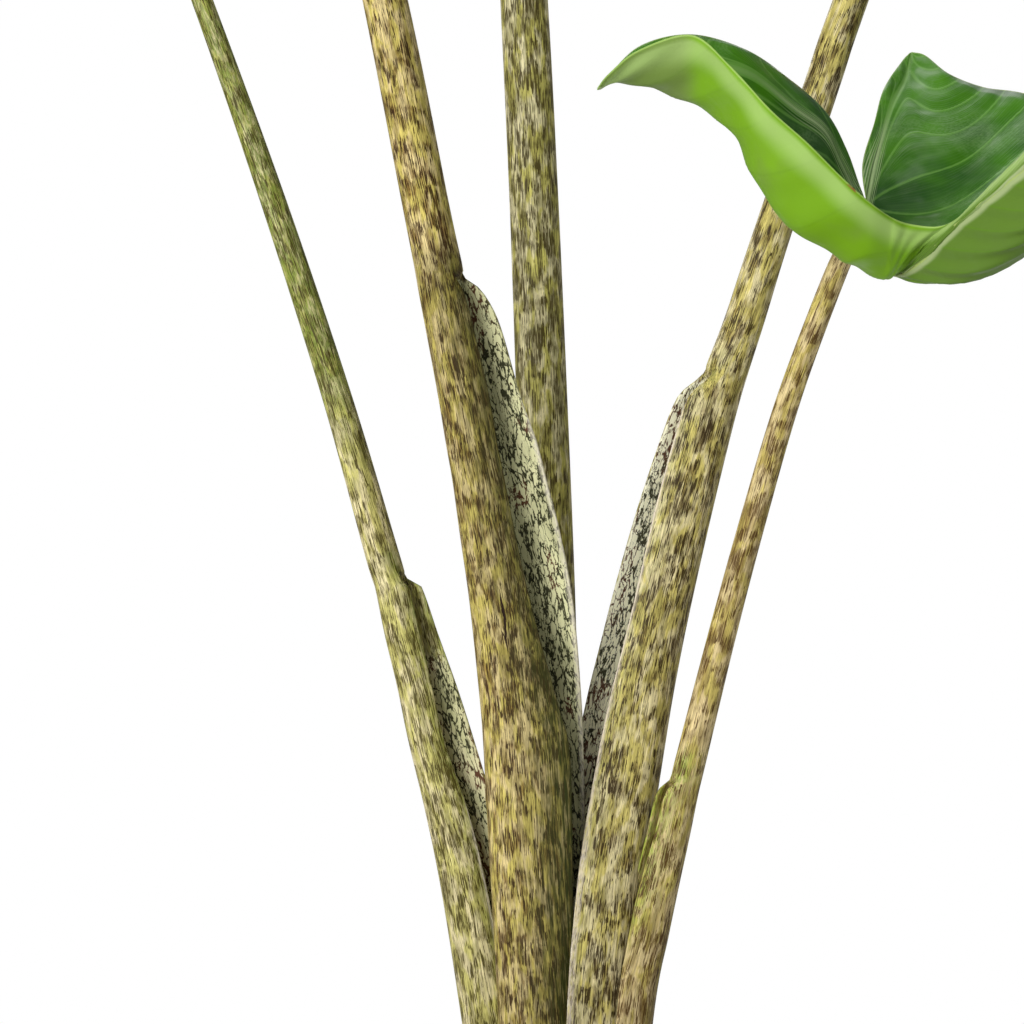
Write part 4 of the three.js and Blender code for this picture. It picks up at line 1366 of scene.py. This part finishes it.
def stalks() -> list[Stalk]:
    """The five stalks, with their finishes.

    Returns:
        The stalks, in the order of their nodes.
    """
    left = StalkFinish(tan=(226, 213, 164), yellow=(202, 194, 116), olive=(140, 134, 74), halo=(120, 106, 54),
                       streak=(66, 58, 18), flush_and_shade=(104, 128, 30), flush_and_shade_share=0.75, speckle=0.6,
                       pale=(214, 208, 164))
    # the broad stalk's dark olive flush is painted shade beside its sheath's edge
    broad = StalkFinish(tan=(223, 202, 142), yellow=(207, 190, 102), olive=(140, 122, 56), halo=(122, 84, 36),
                        streak=(46, 26, 8), flush_and_shade=(72, 72, 26), flush_and_shade_share=0.9, speckle=0.25, cover=0.58,
                        net=(30, 32, 8), red_share=0.1, pale=(214, 212, 164), slit=(124.54, 153.8, 9.0, 0.3))
    rear = StalkFinish(tan=(228, 218, 170), yellow=(200, 192, 104), olive=(126, 120, 58), halo=(110, 98, 50),
                       streak=(68, 58, 24), flush_and_shade=(110, 116, 56), cover=0.66)
    leaning = StalkFinish(tan=(222, 208, 158), yellow=(203, 188, 108), olive=(136, 124, 60),
                          halo=(112, 86, 38), streak=(46, 32, 10), flush_and_shade=(142, 150, 76), flush_and_shade_share=0.5,
                          cover=0.52, pale=(255, 251, 222), tint=0.08, cream=(226, 212, 192), red_share=0.45)
    young = StalkFinish(tan=(214, 193, 140), yellow=(196, 178, 98), olive=(142, 120, 64), halo=(124, 96, 54),
                        streak=(78, 54, 20), flush_and_shade=(150, 174, 58), flush_and_shade_share=0.8, yellow_share=0.4,
                        cover=0.38)
    return [
        Stalk("left_stalk", "stalk_1", "green_stalk", 1, -12, [
            [185, -13, 5, 7.6, 1, 7, 7], [231, -20, 5, 7.2, 1, 7.2, 9], [262, -25.5, 5, 6.6, 1, 7, 12],
            [284, -30.6, 6, 6, 1, 6.6, 12.7], [303, -35.6, 8, 5.6, 1, 5, 12.2],
            [318, -39, 9, 5.3, 1, 5, 10.8], [332, -42.5, 10.5, 5.2, 1, 5.2, 9.2],
            [346, -45.6, 12, 5, 1, 4.9, 7.3], [353, -48, 13, 4.9, 0, 4.6, 4.6],
            [398, -61, 18, 4.3, 0, 4, 4], [453, -79, 24, 3.75, 0, 3, 3], [509, -99, 31, 3.1, 0, 3, 3],
            [560, -119, 44, 2.9, 0, 3, 3], [612, -141, 64, 2.6, 0, 3, 3]],
              left, 1, near_edge=((231, 1.0), (265, 0.8), (292, 0.0)), netted_to=320, flush_and_shade_width=2.6,
              flush_crest=366),
        Stalk("broad_stalk", "stalk_2", "stalk", 1, -14, [
            [185, -3.5, -5, 11, 1, 11, 12], [231, -5.5, -5.5, 10.8, 1, 12, 13], [280, -9, -8, 10, 1, 15, 16],
            [303, -10.5, -9, 9.7, 1, 15.6, 17], [315, -11.7, -10, 9.4, 1, 13.6, 17.8],
            [342, -15.3, -12, 8.6, 1, 9.7, 19.3], [362, -18.6, -13, 8.1, 1, 8.4, 19],
            [376, -20.8, -14, 7.8, 1, 7.8, 17.6], [387, -23, -15, 7.5, 1, 7.8, 17],
            [401, -25.5, -16, 7.3, 1, 7.8, 14.6], [420, -29.4, -17.5, 6.9, 1, 7.3, 13],
            [429, -31.2, -18, 6.8, 1, 6.6, 10], [436, -32.5, -18, 6.7, 0, 6, 6],
            [453, -36, -19, 6.5, 0, 6, 6], [509, -47, -24, 6.25, 0, 6, 6],
            [600, -67, -40, 5.3, 0, 5, 5], [702, -92, -64, 4.3, 0, 5, 5]],
              broad, 2, far_edge=((231, 0.9), (380, 0.8), (402, 0.0)),
              painted_shade=((231, 0.95), (300, 0.9), (350, 0.5), (430, 0.5)), fade=3.6, flush_and_shade_width=9.0),
        Stalk("rear_stalk", "stalk_3", "grey_stalk", 1, 90, [
            [185, -1, 11, 7.8, 0, 5, 5], [231, -0.8, 14.5, 7.6, 0, 5, 5], [296, -1.1, 18.5, 7.6, 0, 5, 5],
            [340, -1.9, 22, 7.5, 0, 5, 5], [396, -3.8, 28, 7.2, 0, 5, 5], [452, -6, 34, 6.9, 0, 5, 5],
            [509, -8.8, 40, 6.7, 0, 5, 5], [600, -14, 54, 5.8, 0, 5, 5], [700, -20, 74, 5, 0, 5, 5],
            [792, -27, 96, 4.2, 0, 5, 5]], rear, 3),
        Stalk("leaning_stalk", "stalk_4", "stalk", -1, -16, [
            [185, 8, -6, 9.5, 1, 8, 8, 0.9], [231, 12, -8, 9.4, 1, 11.3, 11, 0.9],
            [260, 15.2, -6.5, 8.8, 1, 12, 12, 0.85], [278, 18, -4, 8.6, 1, 12.3, 14, 0.78],
            [298, 21.5, -1, 8.2, 1, 12, 15.4, 0.72], [315, 24.6, 2, 7.9, 1, 11.3, 15.2, 0.66],
            [331, 28, 5, 7.6, 1, 10.4, 14.6], [348, 32, 7.5, 7.3, 1, 10.2, 14.2],
            [367, 36.7, 10, 7, 1, 10.5, 13.4], [387, 42, 12.5, 6.6, 1, 10.3, 12],
            [399, 45.4, 14, 6.4, 1, 9.6, 10.4], [408, 48.4, 15, 6.2, 0, 6, 6],
            [420, 52.7, 17, 5.8, 0, 5, 5], [442, 59.8, 20, 5.5, 0, 5, 5], [486, 74.7, 27, 5.2, 0, 5, 5],
            [509, 82.6, 30, 5.1, 0, 5, 5], [600, 116, 38, 4.6, 0, 5, 5], [742, 170, 54, 3.8, 0, 4, 4]],
              leaning, 4,
              near_edge=((231, 1.8), (280, 1.3), (302, 0.5), (320, 0.35), (390, 0.4), (401, 0.0))),
        Stalk("young_stalk", "stalk_5", "stalk", -1, -20, [
            [185, 17, -10, 5.5, 1, 4.5, 4, 0.8], [231, 22, -12, 5.5, 1, 6.5, 5.5, 0.8],
            [250, 26, -11.5, 5.2, 1, 7.4, 6.5, 0.75], [264, 29.2, -11, 4.9, 1, 7.3, 7],
            [278, 32.5, -11, 4.6, 1, 6.4, 6.9], [290, 35, -11.5, 4.5, 1, 5.8, 6.5],
            [298, 37, -12, 4.4, 0, 4, 4], [333, 45.6, -14.5, 4, 0, 4, 4],
            [366, 54.3, -17.5, 3.75, 0, 4, 4], [400, 64.1, -21.5, 3.5, 0, 4, 4],
            [433, 76.1, -27, 3.3, 0, 3, 3], [445, 81.5, -31, 3.1, 0, 3, 3], [452.7, 84.9, -34, 2.7, 0, 3, 3]],
              young, 5, netted_to=100, flush_and_shade_width=4.0, flush_foot=240),
    ]


def blades(made: list[Stalk]) -> list[Blade]:
    """The low blade and the four broad ones, each at the top of its stalk.

    Args:
        made: the stalks, in order.

    Returns:
        The blades.
    """
    held = [
        ("left_blade", BroadBlade(0.78, 158, -14, 8, 62, 34, 30, 30, (26, 22), (48, 58), 3.2)),
        ("front_blade", BroadBlade(0.98, 232, -20, -6, 56, 38, 44, -35, (22, 27), (52, 44), 4)),
        ("rear_blade", BroadBlade(1.02, 62, -10, 5, 60, 42, 36, 40, (26, 24), (46, 56), 4)),
        ("right_blade", BroadBlade(0.92, -18, -18, -8, 58, 36, 40, -30, (24, 28), (54, 46), 3.6)),
    ]
    feet = [(s.rows[-1][1], s.rows[-1][2], s.rows[-1][0] + SEAT) for s in made]
    low = Blade("young_blade", "blade_5", feet[4], low_halves(), BladeFinish(), 13, 12, across_steps=46,
                rib_depth=0.3, rib_width=1.5)
    grown = BladeFinish(deep=(28, 84, 2), fresh_and_lit=(56, 116, 4), painted_sheen_share=0.12)
    broad = [Blade(name, f"blade_{k + 1}", feet[k], pose.halves(), grown, 20 * pose.size, 13)
             for k, (name, pose) in enumerate(held)]
    return [low, *broad]


def turned(profile: list[tuple[float, float]], segments: int) -> tuple[Array, list]:
    """Solid of revolution from a profile of radius and height that starts and ends on the axis.

    Args:
        profile: radius and height of each point.
        segments: steps round the axis.

    Returns:
        Points, and corner numbers of the faces.
    """
    angle = np.linspace(0, 2 * math.pi, segments, endpoint=False)
    rings = np.array([[(r * math.cos(a), r * math.sin(a), z) for a in angle] for r, z in profile[1:-1]])
    points = rings.reshape(-1, 3).tolist() + [[0, 0, profile[0][1]], [0, 0, profile[-1][1]]]
    faces = grid_quads(len(profile) - 2, segments, closed=True).tolist()
    low, high, last = len(points) - 2, len(points) - 1, (len(profile) - 3) * segments
    for k in range(segments):
        faces.append([low, (k + 1) % segments, k])
        faces.append([high, last + k, last + (k + 1) % segments])
    return np.array(points, float), faces


@dataclass
class NurseryPot:
    """Moulded pot: tapered wall, banded rim, a ring and a hub to stand on, and drain holes."""

    height: float = 200
    foot: float = 86
    top: float = 116
    wall: float = 2.6
    floor: float = 4
    rim_height: float = 16
    rim_out: float = 3.4
    lift: float = 3
    ring: float = 10
    hub: float = 26
    drain: float = 5
    drain_ring: float = 58
    drains: int = 8
    segments: int = 192

    def radius(self, z: float) -> float:
        """Outer radius of the wall at a height."""
        return self.foot + (self.top - self.foot) * z / self.height

    def build(self) -> bpy.types.Object:
        """Mesh of the pot, with its drain holes cut through.

        Returns:
            The pot.
        """
        z = self.height - self.rim_height
        out = self.top + self.rim_out
        inner = self.foot - self.ring
        profile = [(0, 0), (self.hub - 0.4, 0), (self.hub, 0.4), (self.hub + 2, self.lift),
                   (inner - 2, self.lift), (inner, 0.5), (inner + 0.5, 0),
                   (self.foot - 1.5, 0), (self.foot - 0.4, 0.4), (self.foot, 1.5)]
        profile += [(self.radius(h), h) for h in np.linspace(8, z - 6, 24)]
        profile += [(self.radius(z - 1), z - 1.6), (self.radius(z - 1) + 0.3, z - 1),
                    (self.radius(z) + self.rim_out - 0.5, z + 0.4), (self.radius(z) + self.rim_out, z + 1)]
        for groove in (0.3, 0.7):
            h = mix(z + 1, self.height - 1.2, groove)
            r = mix(self.radius(z) + self.rim_out, out, groove)
            profile += [(r, h - 0.8), (r - 0.35, h - 0.4), (r - 0.35, h + 0.4), (r, h + 0.8)]
        profile += [(out, self.height - 1.2), (out - 0.35, self.height - 0.35), (out - 1.2, self.height),
                    (self.top - self.wall + 1, self.height), (self.top - self.wall + 0.3, self.height - 0.3),
                    (self.top - self.wall, self.height - 1)]
        base = self.lift + self.floor
        profile += [(self.radius(h) - self.wall, h) for h in np.linspace(self.height - 6, base + 2, 16)]
        profile += [(self.radius(base) - self.wall - 1, base), (0, base)]
        points, faces = turned(profile, self.segments)
        pot = make_piece("nursery_pot", points, faces, PotFinish().material("moulded_plastic"))
        self.cut_drains(pot)
        return pot

    def cut_drains(self, pot: bpy.types.Object) -> None:
        """Cut the drain holes with one joined cutter.

        Args:
            pot: the pot.
        """
        points, faces, count = [], [], 0
        for k in range(self.drains):
            a = 2 * math.pi * k / self.drains
            ring, sides = turned([(0, -2), (self.drain, -2), (self.drain, 12), (0, 12)], 32)
            points.append(ring + [self.drain_ring * math.cos(a), self.drain_ring * math.sin(a), 0])
            faces += [[v + count for v in f] for f in sides]
            count += len(ring)
        cutter = make_piece("drain_cutter", np.concatenate(points), faces, pot.data.materials[0])
        cut = pot.modifiers.new("drains", "BOOLEAN")
        cut.operation, cut.solver, cut.object = "DIFFERENCE", "EXACT", cutter
        make_plain(pot)
        bpy.data.objects.remove(cutter)


@dataclass
class PottingSoil:
    """Potful of moist mix with a lumpy top, and the bark, perlite and crumbs that lie on it."""

    top: float = 180
    crown: float = 4
    floor: float = 7.35
    pot: NurseryPot = field(default_factory=NurseryPot)
    gap: float = 0.35
    stem_place: tuple[float, float] = (0.5, 1.0)
    stem_radius: float = 24.35
    stem_floor: float = 141.65
    segments: int = 224

    def height(self, r: float) -> float:
        """Height of the even top at a radius."""
        return self.top + self.crown * (1 - (r / self.pot.top) ** 2) - self.crown * 0.5

    def build(self) -> bpy.types.Object:
        """Mesh of the soil, with its lumps and the hole for the stem.

        Returns:
            The soil.
        """
        edge = self.pot.radius(self.top - 4) - self.pot.wall - self.gap
        foot = self.pot.radius(self.floor) - self.pot.wall - self.gap
        profile = [(0, self.floor), (foot, self.floor), (edge, self.top - 4), (edge - 2, self.top - 2.2)]
        profile += [(r, self.height(r)) for r in np.linspace(edge - 5, self.stem_radius + 0.6, 60)]
        profile += [(self.stem_radius, self.height(24)), (self.stem_radius, self.stem_floor),
                    (0, self.stem_floor)]
        points, faces = turned(profile, self.segments)
        for p in points:
            r = math.hypot(p[0], p[1])
            if p[2] > self.top - 60:
                p[:2] += np.array(self.stem_place) * float(ease(1.5 - 0.5 * r / self.stem_radius))
            if p[2] > self.top - 3 and r > self.stem_radius + 0.3:
                share = min(1.0, (edge + 1 - r) / 8, (r - self.stem_radius) / 5)
                lumps = 1.5 * noise.noise(Vector(p) / 13) + 0.9 * noise.noise(Vector(p) / 5)
                p[2] += max(0.0, share) * (lumps + 0.5 * noise.noise(Vector(p) / 2.2))
        earth = EarthFinish((26, 18, 13), (74, 54, 38))
        return make_piece("potting_soil", points, faces, earth.material("moist_mix"))

    def litter(self, soil: bpy.types.Object) -> list[bpy.types.Object]:
        """Loose bits on the soil, each kind scattered by its own tree.

        Args:
            soil: the soil that carries them.

        Returns:
            One piece for each kind.
        """
        kinds = [("bark_chips", 26000, (2.6, 1.5, 0.8), 3, EarthFinish((58, 36, 22), (122, 84, 52), 1.2)),
                 ("perlite", 5200, (1.3, 1.2, 1.0), 7, EarthFinish((196, 194, 186), (236, 234, 228), 0.8)),
                 ("crumbs", 60000, (1.0, 0.9, 0.7), 11, EarthFinish((30, 21, 15), (70, 50, 34), 0.8))]
        return [self.scatter(soil, *kind) for kind in kinds]

    def scatter(self, soil: bpy.types.Object, name: str, density: float, size: Point, seed: int,
                finish: EarthFinish) -> bpy.types.Object:
        """One kind of loose bit, scattered over the top of the soil.

        Args:
            soil: the soil that carries it.
            name: name of the kind and of its piece.
            density: bits to the square metre.
            size: half sizes of a bit in millimetres.
            seed: seed of the scatter.
            finish: what the bits are made of.

        Returns:
            The bits as one plain mesh.
        """
        piece = new_object(name, soil.data.copy())
        scatter = piece.modifiers.new("scatter", "NODES")
        scatter.node_group = litter_tree(name, finish.material(name))
        keys = {item.name: item.identifier for item in scatter.node_group.interface.items_tree
                if item.in_out == "INPUT"}
        values = {"Density": float(density), "Size": [v * MM for v in size], "Seed": seed,
                  "Lowest": (self.top - 2.5) * MM, "Stem": (self.stem_radius + 1.5) * MM}
        for key, value in values.items():
            scatter[keys[key]] = value
        make_plain(piece)
        return piece


def litter_tree(name: str, material: bpy.types.Material) -> bpy.types.NodeTree:
    """Geometry tree that scatters uneven bits over the upward faces of a mesh.

    Args:
        name: the tree's name.
        material: finish of the bits.

    Returns:
        The tree.
    """

    def fill(tree: Tree, given: Sockets) -> dict[str, Socket]:
        """Adds the nodes: bits stand on the faces above the lowest height and outside the stem.

        Args:
            tree: the group that is filled.
            given: the group's inputs.

        Returns:
            The socket for each output.
        """
        seed = given["Seed"]
        x, y, z = tree.xyz(tree.node("GeometryNodeInputPosition").outputs[0])
        reach = tree.math("SQRT", tree.add(tree.math("POWER", x, 2.0), tree.math("POWER", y, 2.0)))
        top = tree.mul(tree.math("GREATER_THAN", z, given["Lowest"]),
                       tree.math("GREATER_THAN", reach, given["Stem"]))
        ground = {"Mesh": given["Geometry"], "Selection": top, "Density": given["Density"], "Seed": seed}
        spread = tree.node("GeometryNodeDistributePointsOnFaces", ground).outputs["Points"]
        ball = tree.node("GeometryNodeMeshIcoSphere", {"Radius": 1.0, "Subdivisions": 2}).outputs["Mesh"]
        lumps = tree.node("ShaderNodeTexNoise", {"Scale": 1.1, "Detail": 1.0}).outputs["Color"]
        push = tree.vector("SCALE", tree.vector("SUBTRACT", lumps, (0.5, 0.5, 0.5)), Scale=1.6)
        rough = tree.node("GeometryNodeSetPosition", {"Geometry": ball, "Offset": push}).outputs[0]
        angles = {"Min": (-0.5, -0.5, 0.0), "Max": (0.5, 0.5, 6.28), "Seed": seed}
        turn = tree.node("FunctionNodeRandomValue", angles, data_type="FLOAT_VECTOR").outputs[0]
        sizes = {2: 0.55, 3: 1.35, "Seed": seed}
        grow = tree.node("FunctionNodeRandomValue", sizes, data_type="FLOAT").outputs[1]
        bits = {"Points": spread, "Instance": rough, "Rotation": turn,
                "Scale": tree.vector("SCALE", given["Size"], Scale=grow)}
        placed = tree.node("GeometryNodeInstanceOnPoints", bits).outputs[0]
        real = tree.node("GeometryNodeRealizeInstances", {"Geometry": placed}).outputs[0]
        dressed = tree.node("GeometryNodeSetMaterial", {"Geometry": real, "Material": material}).outputs[0]
        return {"Geometry": dressed}

    takes = {"Geometry": Kind.GEOMETRY, "Density": Kind.NUMBER, "Size": Kind.VECTOR, "Seed": Kind.WHOLE,
             "Lowest": Kind.NUMBER, "Stem": Kind.NUMBER}
    return node_group(f"scatter_{name}", takes, fill, Kind.GEOMETRY, "GeometryNodeTree")


@dataclass
class StemBase:
    """Short stem that the stalks stand on, ringed by the scars of older leaves."""

    radius: float = 24
    bottom: float = 142
    soil: float = 180
    top: float = 187
    x: float = 0.5
    y: float = 1
    segments: int = 160

    def build(self) -> bpy.types.Object:
        """Mesh of the stem, uneven round its scars.

        Returns:
            The stem.
        """
        r, s = self.radius, self.soil
        rings = [(r, s), (r - 0.5, s + 0.8), (r - 1.2, s + 1.5), (r - 0.9, s + 2), (r - 0.3, s + 2.6),
                 (r - 0.2, s + 3.3), (r - 0.3, s + 4), (r - 1.2, s + 4.5), (r - 1.8, s + 5),
                 (r - 1.4, s + 5.5), (r - 1.2, s + 6), (r - 1.5, s + 6.6)]
        profile = [(0, self.bottom), (r - 3, self.bottom), (r, self.bottom + 3), *rings]
        profile += [(mix(r - 2, 3, k / 10), self.top) for k in range(11)] + [(0, self.top)]
        points, faces = turned(profile, self.segments)
        for p in points:
            if p[2] > s + 0.5:
                a = math.atan2(p[1], p[0])
                dent = noise.noise(Vector((6 * math.cos(a), 6 * math.sin(a), p[2] / 3)))
                p[:2] *= 1 + 0.022 * dent - 0.01
                p[2] -= 0.25 * abs(noise.noise(Vector(p) / 3))
        points += [self.x, self.y, 0]
        return make_piece("stem", points, faces, BarkFinish().material("stem_skin"))


@dataclass
class Studio:
    """Plain pale floor, white background, soft lights, and the camera at the picture's angle."""

    target: Point = (-12.22, 0.0, 367.2)
    distance: float = 2500
    elevation: float = 3.0
    lens: float = 316.4
    sensor: float = 36.0
    sight: float = 100
    aim: Point = (0, 0, 0.45)
    floor_radius: float = 1.7
    ambient: float = 0.25

    def build(self) -> None:
        """Set up the floor, the world, the lights and the camera."""
        self.floor()
        self.world()
        self.softbox("key", (-1.7, -2.25, 1.3), 1.9, 96)
        self.softbox("overhead", (-0.4, -0.2, 2.6), 1.6, 18)
        self.softbox("fill", (2.2, -1.2, 0.9), 1.6, 4)
        self.softbox("back", (-0.4, 2.6, 1.5), 2.0, 26)
        self.camera()
        view = bpy.context.scene.view_settings
        view.view_transform, view.look = "Standard", "None"

    def floor(self) -> None:
        """Pale round floor that fades out at its rim."""
        points, faces = turned([(0, 0), (self.floor_radius / MM, 0), (0, 0)], 96)
        material, tree = new_material("pale_floor")
        place = tree.node("ShaderNodeTexCoord").outputs["Object"]
        reach = tree.node("ShaderNodeVectorMath", {0: place}, operation="LENGTH").outputs["Value"]
        tree.shade(Base_Color=(0.92, 0.92, 0.92, 1.0), Roughness=0.8,
                   Alpha=tree.fade(reach, 0.5, self.floor_radius))
        upper = [f for f in faces if points.shape[0] - 1 not in f]
        make_piece("floor", points, upper, material, outward=False)

    def world(self) -> None:
        """White to the camera, and softer as a light."""
        world = bpy.data.worlds.new("white_room")
        bpy.context.scene.world = world
        world.use_nodes = True
        tree = Tree(world.node_tree)
        sky = world.node_tree.nodes["Background"]
        sky.inputs["Color"].default_value = (1.0, 1.0, 1.0, 1.0)
        seen = tree.node("ShaderNodeLightPath").outputs["Is Camera Ray"]
        tree.feed(sky.inputs["Strength"], tree.add(self.ambient, tree.mul(seen, 1 - self.ambient)))

    def softbox(self, name: str, place: Point, size: float, power: float) -> None:
        """Square area light aimed at the middle of the plant.

        Args:
            name: the light's name.
            place: where it stands, in metres.
            size: length of its side.
            power: its power in watts.
        """
        lamp = bpy.data.lights.new(name, "AREA")
        lamp.size, lamp.energy = size, power
        light = new_object(name, lamp)
        light.location = place
        light.rotation_euler = (Vector(self.aim) - light.location).to_track_quat("-Z", "Y").to_euler()
        light.visible_camera = False

    def camera(self) -> None:
        """Long lens, a little above the target and level with the picture's sides."""
        lens = bpy.data.cameras.new("camera")
        lens.lens, lens.sensor_width, lens.clip_end = self.lens, self.sensor, self.sight
        camera = new_object("camera", lens)
        tilt = math.radians(self.elevation)
        back = Vector((0, -math.cos(tilt), math.sin(tilt))) * self.distance
        camera.location = (Vector(self.target) + back) * MM
        camera.rotation_euler = (math.radians(90 - self.elevation), 0, 0)
        bpy.context.scene.camera = camera


def main() -> None:
    """Build each sub-assembly in order and write how large the model is."""
    logging.basicConfig(level=logging.INFO, format="%(message)s")
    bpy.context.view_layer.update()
    Studio().build()
    soil = PottingSoil()
    ground = soil.build()
    for bits in soil.litter(ground):
        settle(bits, "potting_soil")
    settle(ground, "potting_soil", "soil")
    settle(NurseryPot().build(), "pot_plastic", "pot")
    settle(StemBase().build(), "stem_bark", "stem_base")
    made = stalks()
    for stalk in made:
        settle(stalk.build(), stalk.slot, stalk.node)
    for blade in blades(made):
        settle(blade.build(), "blade", blade.node)
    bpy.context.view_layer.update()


if __name__ == "__main__":
    main()
